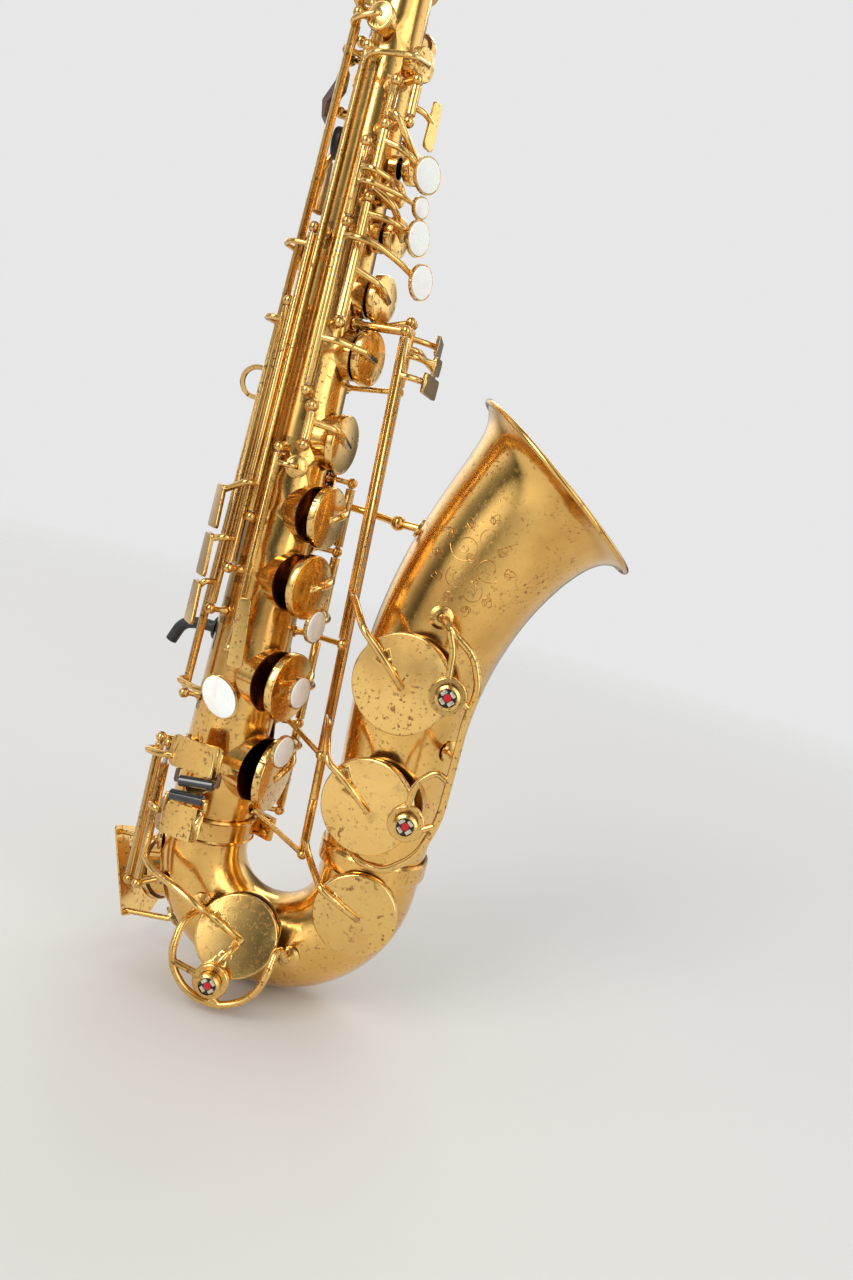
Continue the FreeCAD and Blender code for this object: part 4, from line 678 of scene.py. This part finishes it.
lines = [curl(-0.30, 0.30, 0.34, 200, 1.5), curl(0.34, 0.16, 0.30, -20, 1.4, -1),
         curl(-0.12, -0.34, 0.26, 150, 1.4), curl(0.30, -0.44, 0.24, 60, 1.3, -1),
         curl(0.02, 0.72, 0.22, 250, 1.3, -1),
         [(-0.62, -0.86), (-0.30, -0.62), (0.02, -0.20), (0.06, 0.20), (0.22, 0.56), (0.56, 0.92)],
         [(-0.66, -0.20), (-0.40, -0.08), (-0.02, -0.06), (0.30, -0.16), (0.66, -0.10)]]
for u, v, angle in ((-0.62, 0.36, 160), (-0.42, 0.66, 120), (-0.06, 0.98, 95), (0.34, 0.52, 60),
                    (0.66, 0.26, 20), (0.58, -0.40, -20), (0.36, -0.72, -70), (-0.06, -0.66, -95),
                    (-0.42, -0.44, -140), (-0.64, -0.10, 190), (-0.16, 0.10, 40), (0.14, -0.10, -50)):
    lines += [leaf(u, v, angle, 0.26, 0.10), leaf(u, v, angle + 34, 0.18, 0.07),
              leaf(u, v, angle - 34, 0.18, 0.07)]

cuts = []
for line in lines:
    places = [place for place in (bellSpot(u, v) for u, v in line) if place]
    if len(places) < 4:
        continue
    curve = bpy.data.curves.new("scroll", "CURVE")
    curve.dimensions = "3D"
    curve.bevel_depth = scroll["line"]
    curve.bevel_resolution = 1
    curve.resolution_u = 4
    spline = curve.splines.new("NURBS")
    spline.points.add(len(places) - 1)
    for point, place in zip(spline.points, places):
        point.co = (*place, 1)
    spline.order_u = 3
    spline.use_endpoint_u = True
    cut = bpy.data.objects.new("scroll", curve)
    bpy.context.scene.collection.objects.link(cut)
    cuts.append(cut)
deselect()
for cut in cuts:
    cut.select_set(True)
bpy.context.view_layer.objects.active = cuts[0]
bpy.ops.object.convert(target="MESH")
settle(joinAll(cuts), "bell_scroll", "instrument", "engraving")
print("scroll engraved:", len(cuts), "lines")


# Floor, room light and camera. The floor fades into the pale room, and only reflections see the darker bands.
floorDisc = {"radius": 2.4, "drop": 0.0012, "clear": 0.25, "gone": 0.95}
roomTone = (0.80, 0.80, 0.80)
deselect()
bpy.ops.mesh.primitive_circle_add(vertices=96, radius=floorDisc["radius"], fill_type="NGON",
                                  location=(0, 0, cadBox[0].z - floorDisc["drop"]))
ground = bpy.context.object
ground.name = "floor"
floorPaint, tree, surface = newFinish("floorPaint")
surface.inputs["Base Color"].default_value = (0.66, 0.65, 0.63, 1)
surface.inputs["Roughness"].default_value = 0.6
spread = tree.nodes.new("ShaderNodeTexGradient")
spread.gradient_type = "SPHERICAL"
reach = 1 / floorDisc["radius"]
tree.links.new(objectPlace(tree, (reach, reach, reach)), spread.inputs["Vector"])
fade = shade(tree, spread.outputs["Fac"], ((1 - floorDisc["gone"], 0.0), (1 - floorDisc["clear"], 1.0)))
hole = tree.nodes.new("ShaderNodeBsdfTransparent")
fadeMix = tree.nodes.new("ShaderNodeMixShader")
tree.links.new(fade, fadeMix.inputs["Fac"])
tree.links.new(hole.outputs["BSDF"], fadeMix.inputs[1])
tree.links.new(surface.outputs["BSDF"], fadeMix.inputs[2])
tree.links.new(fadeMix.outputs["Shader"], tree.nodes["Material Output"].inputs["Surface"])
ground.data.materials.append(floorPaint)

world = bpy.data.worlds.new("room")
bpy.context.scene.world = world
world.use_nodes = True
sky = world.node_tree
plain = sky.nodes["Background"]
plain.inputs["Color"].default_value = (*roomTone, 1)
where = sky.nodes.new("ShaderNodeTexCoord")
around = sky.nodes.new("ShaderNodeTexGradient")
around.gradient_type = "RADIAL"  # 0.25 is the player's right, 0.5 the front of the bell, 0.75 behind
sky.links.new(where.outputs["Generated"], around.inputs["Vector"])
bands = shade(sky, around.outputs["Fac"], (
    (0.00, 0.75), (0.05, 0.20), (0.09, 0.05), (0.13, 0.75), (0.18, 1.10), (0.215, 0.25), (0.25, 0.07),
    (0.29, 0.12), (0.32, 0.85), (0.38, 0.95), (0.42, 0.22), (0.47, 0.10), (0.53, 0.80), (0.60, 0.95),
    (0.66, 0.15), (0.72, 0.05), (0.78, 0.35), (0.86, 1.00), (0.93, 0.30), (1.00, 0.75)))
split = sky.nodes.new("ShaderNodeSeparateXYZ")
sky.links.new(where.outputs["Generated"], split.inputs["Vector"])
level = sky.nodes.new("ShaderNodeMapRange")
level.inputs["From Min"].default_value = -1.0
level.inputs["From Max"].default_value = 1.0
sky.links.new(split.outputs["Z"], level.inputs["Value"])
height = shade(sky, level.outputs["Result"], ((0.0, 0.35), (0.36, 0.75), (0.44, 0.25), (0.55, 1.0),
                                              (0.85, 0.9), (1.0, 0.45)))
seen = sky.nodes.new("ShaderNodeBackground")
seen.inputs["Strength"].default_value = 1.6
full = sky.nodes.new("ShaderNodeValue")
full.outputs[0].default_value = 1.0
sky.links.new(blendBy(sky, full.outputs[0], bands, height, "MULTIPLY"), seen.inputs["Color"])
rays = sky.nodes.new("ShaderNodeLightPath")
choice = sky.nodes.new("ShaderNodeMixShader")
sky.links.new(rays.outputs["Is Glossy Ray"], choice.inputs["Fac"])
sky.links.new(plain.outputs["Background"], choice.inputs[1])
sky.links.new(seen.outputs["Background"], choice.inputs[2])
sky.links.new(choice.outputs["Shader"], sky.nodes["World Output"].inputs["Surface"])


def softLight(name, place, target, size, power, tint):
    lamp = bpy.data.lights.new(name, "AREA")
    lamp.shape = "RECTANGLE"
    lamp.size, lamp.size_y = size
    lamp.energy = power
    lamp.color = tint
    holder = bpy.data.objects.new(name, lamp)
    bpy.context.scene.collection.objects.link(holder)
    holder.location = place
    holder.rotation_euler = (Vector(target) - Vector(place)).to_track_quat("-Z", "Y").to_euler()
    return holder


softLight("windowLight", (-0.9, -1.5, 1.1), (0.05, 0, 0), (0.9, 1.4), 22, (1.0, 0.99, 0.97))
softLight("roomFill", (1.6, -1.1, 0.4), (0.05, 0, 0), (0.8, 1.6), 7, (1.0, 0.96, 0.90))
softLight("backRim", (0.3, 1.5, 1.2), (0.05, 0, 0), (1.6, 0.5), 8, (1.0, 1.0, 1.0))

view = {"place": (0.1483, -0.5623, -0.0427), "right": (0.96544, 0.06754, 0.25171),
        "up": (-0.25812, 0.11460, 0.95929), "back": (0.03595, -0.99111, 0.12807), "lens": 28.125}
lensData = bpy.data.cameras.new("camera")
lensData.lens = view["lens"]
lensData.sensor_width = 36
lensData.clip_start = 0.01
eye = bpy.data.objects.new("camera", lensData)
bpy.context.scene.collection.objects.link(eye)
turned = Matrix((view["right"], view["up"], view["back"])).transposed()
eye.matrix_world = Matrix.Translation(view["place"]) @ turned.to_4x4()
bpy.context.scene.camera = eye
bpy.context.scene.view_settings.view_transform = "Standard"
bpy.context.scene.view_settings.look = "None"
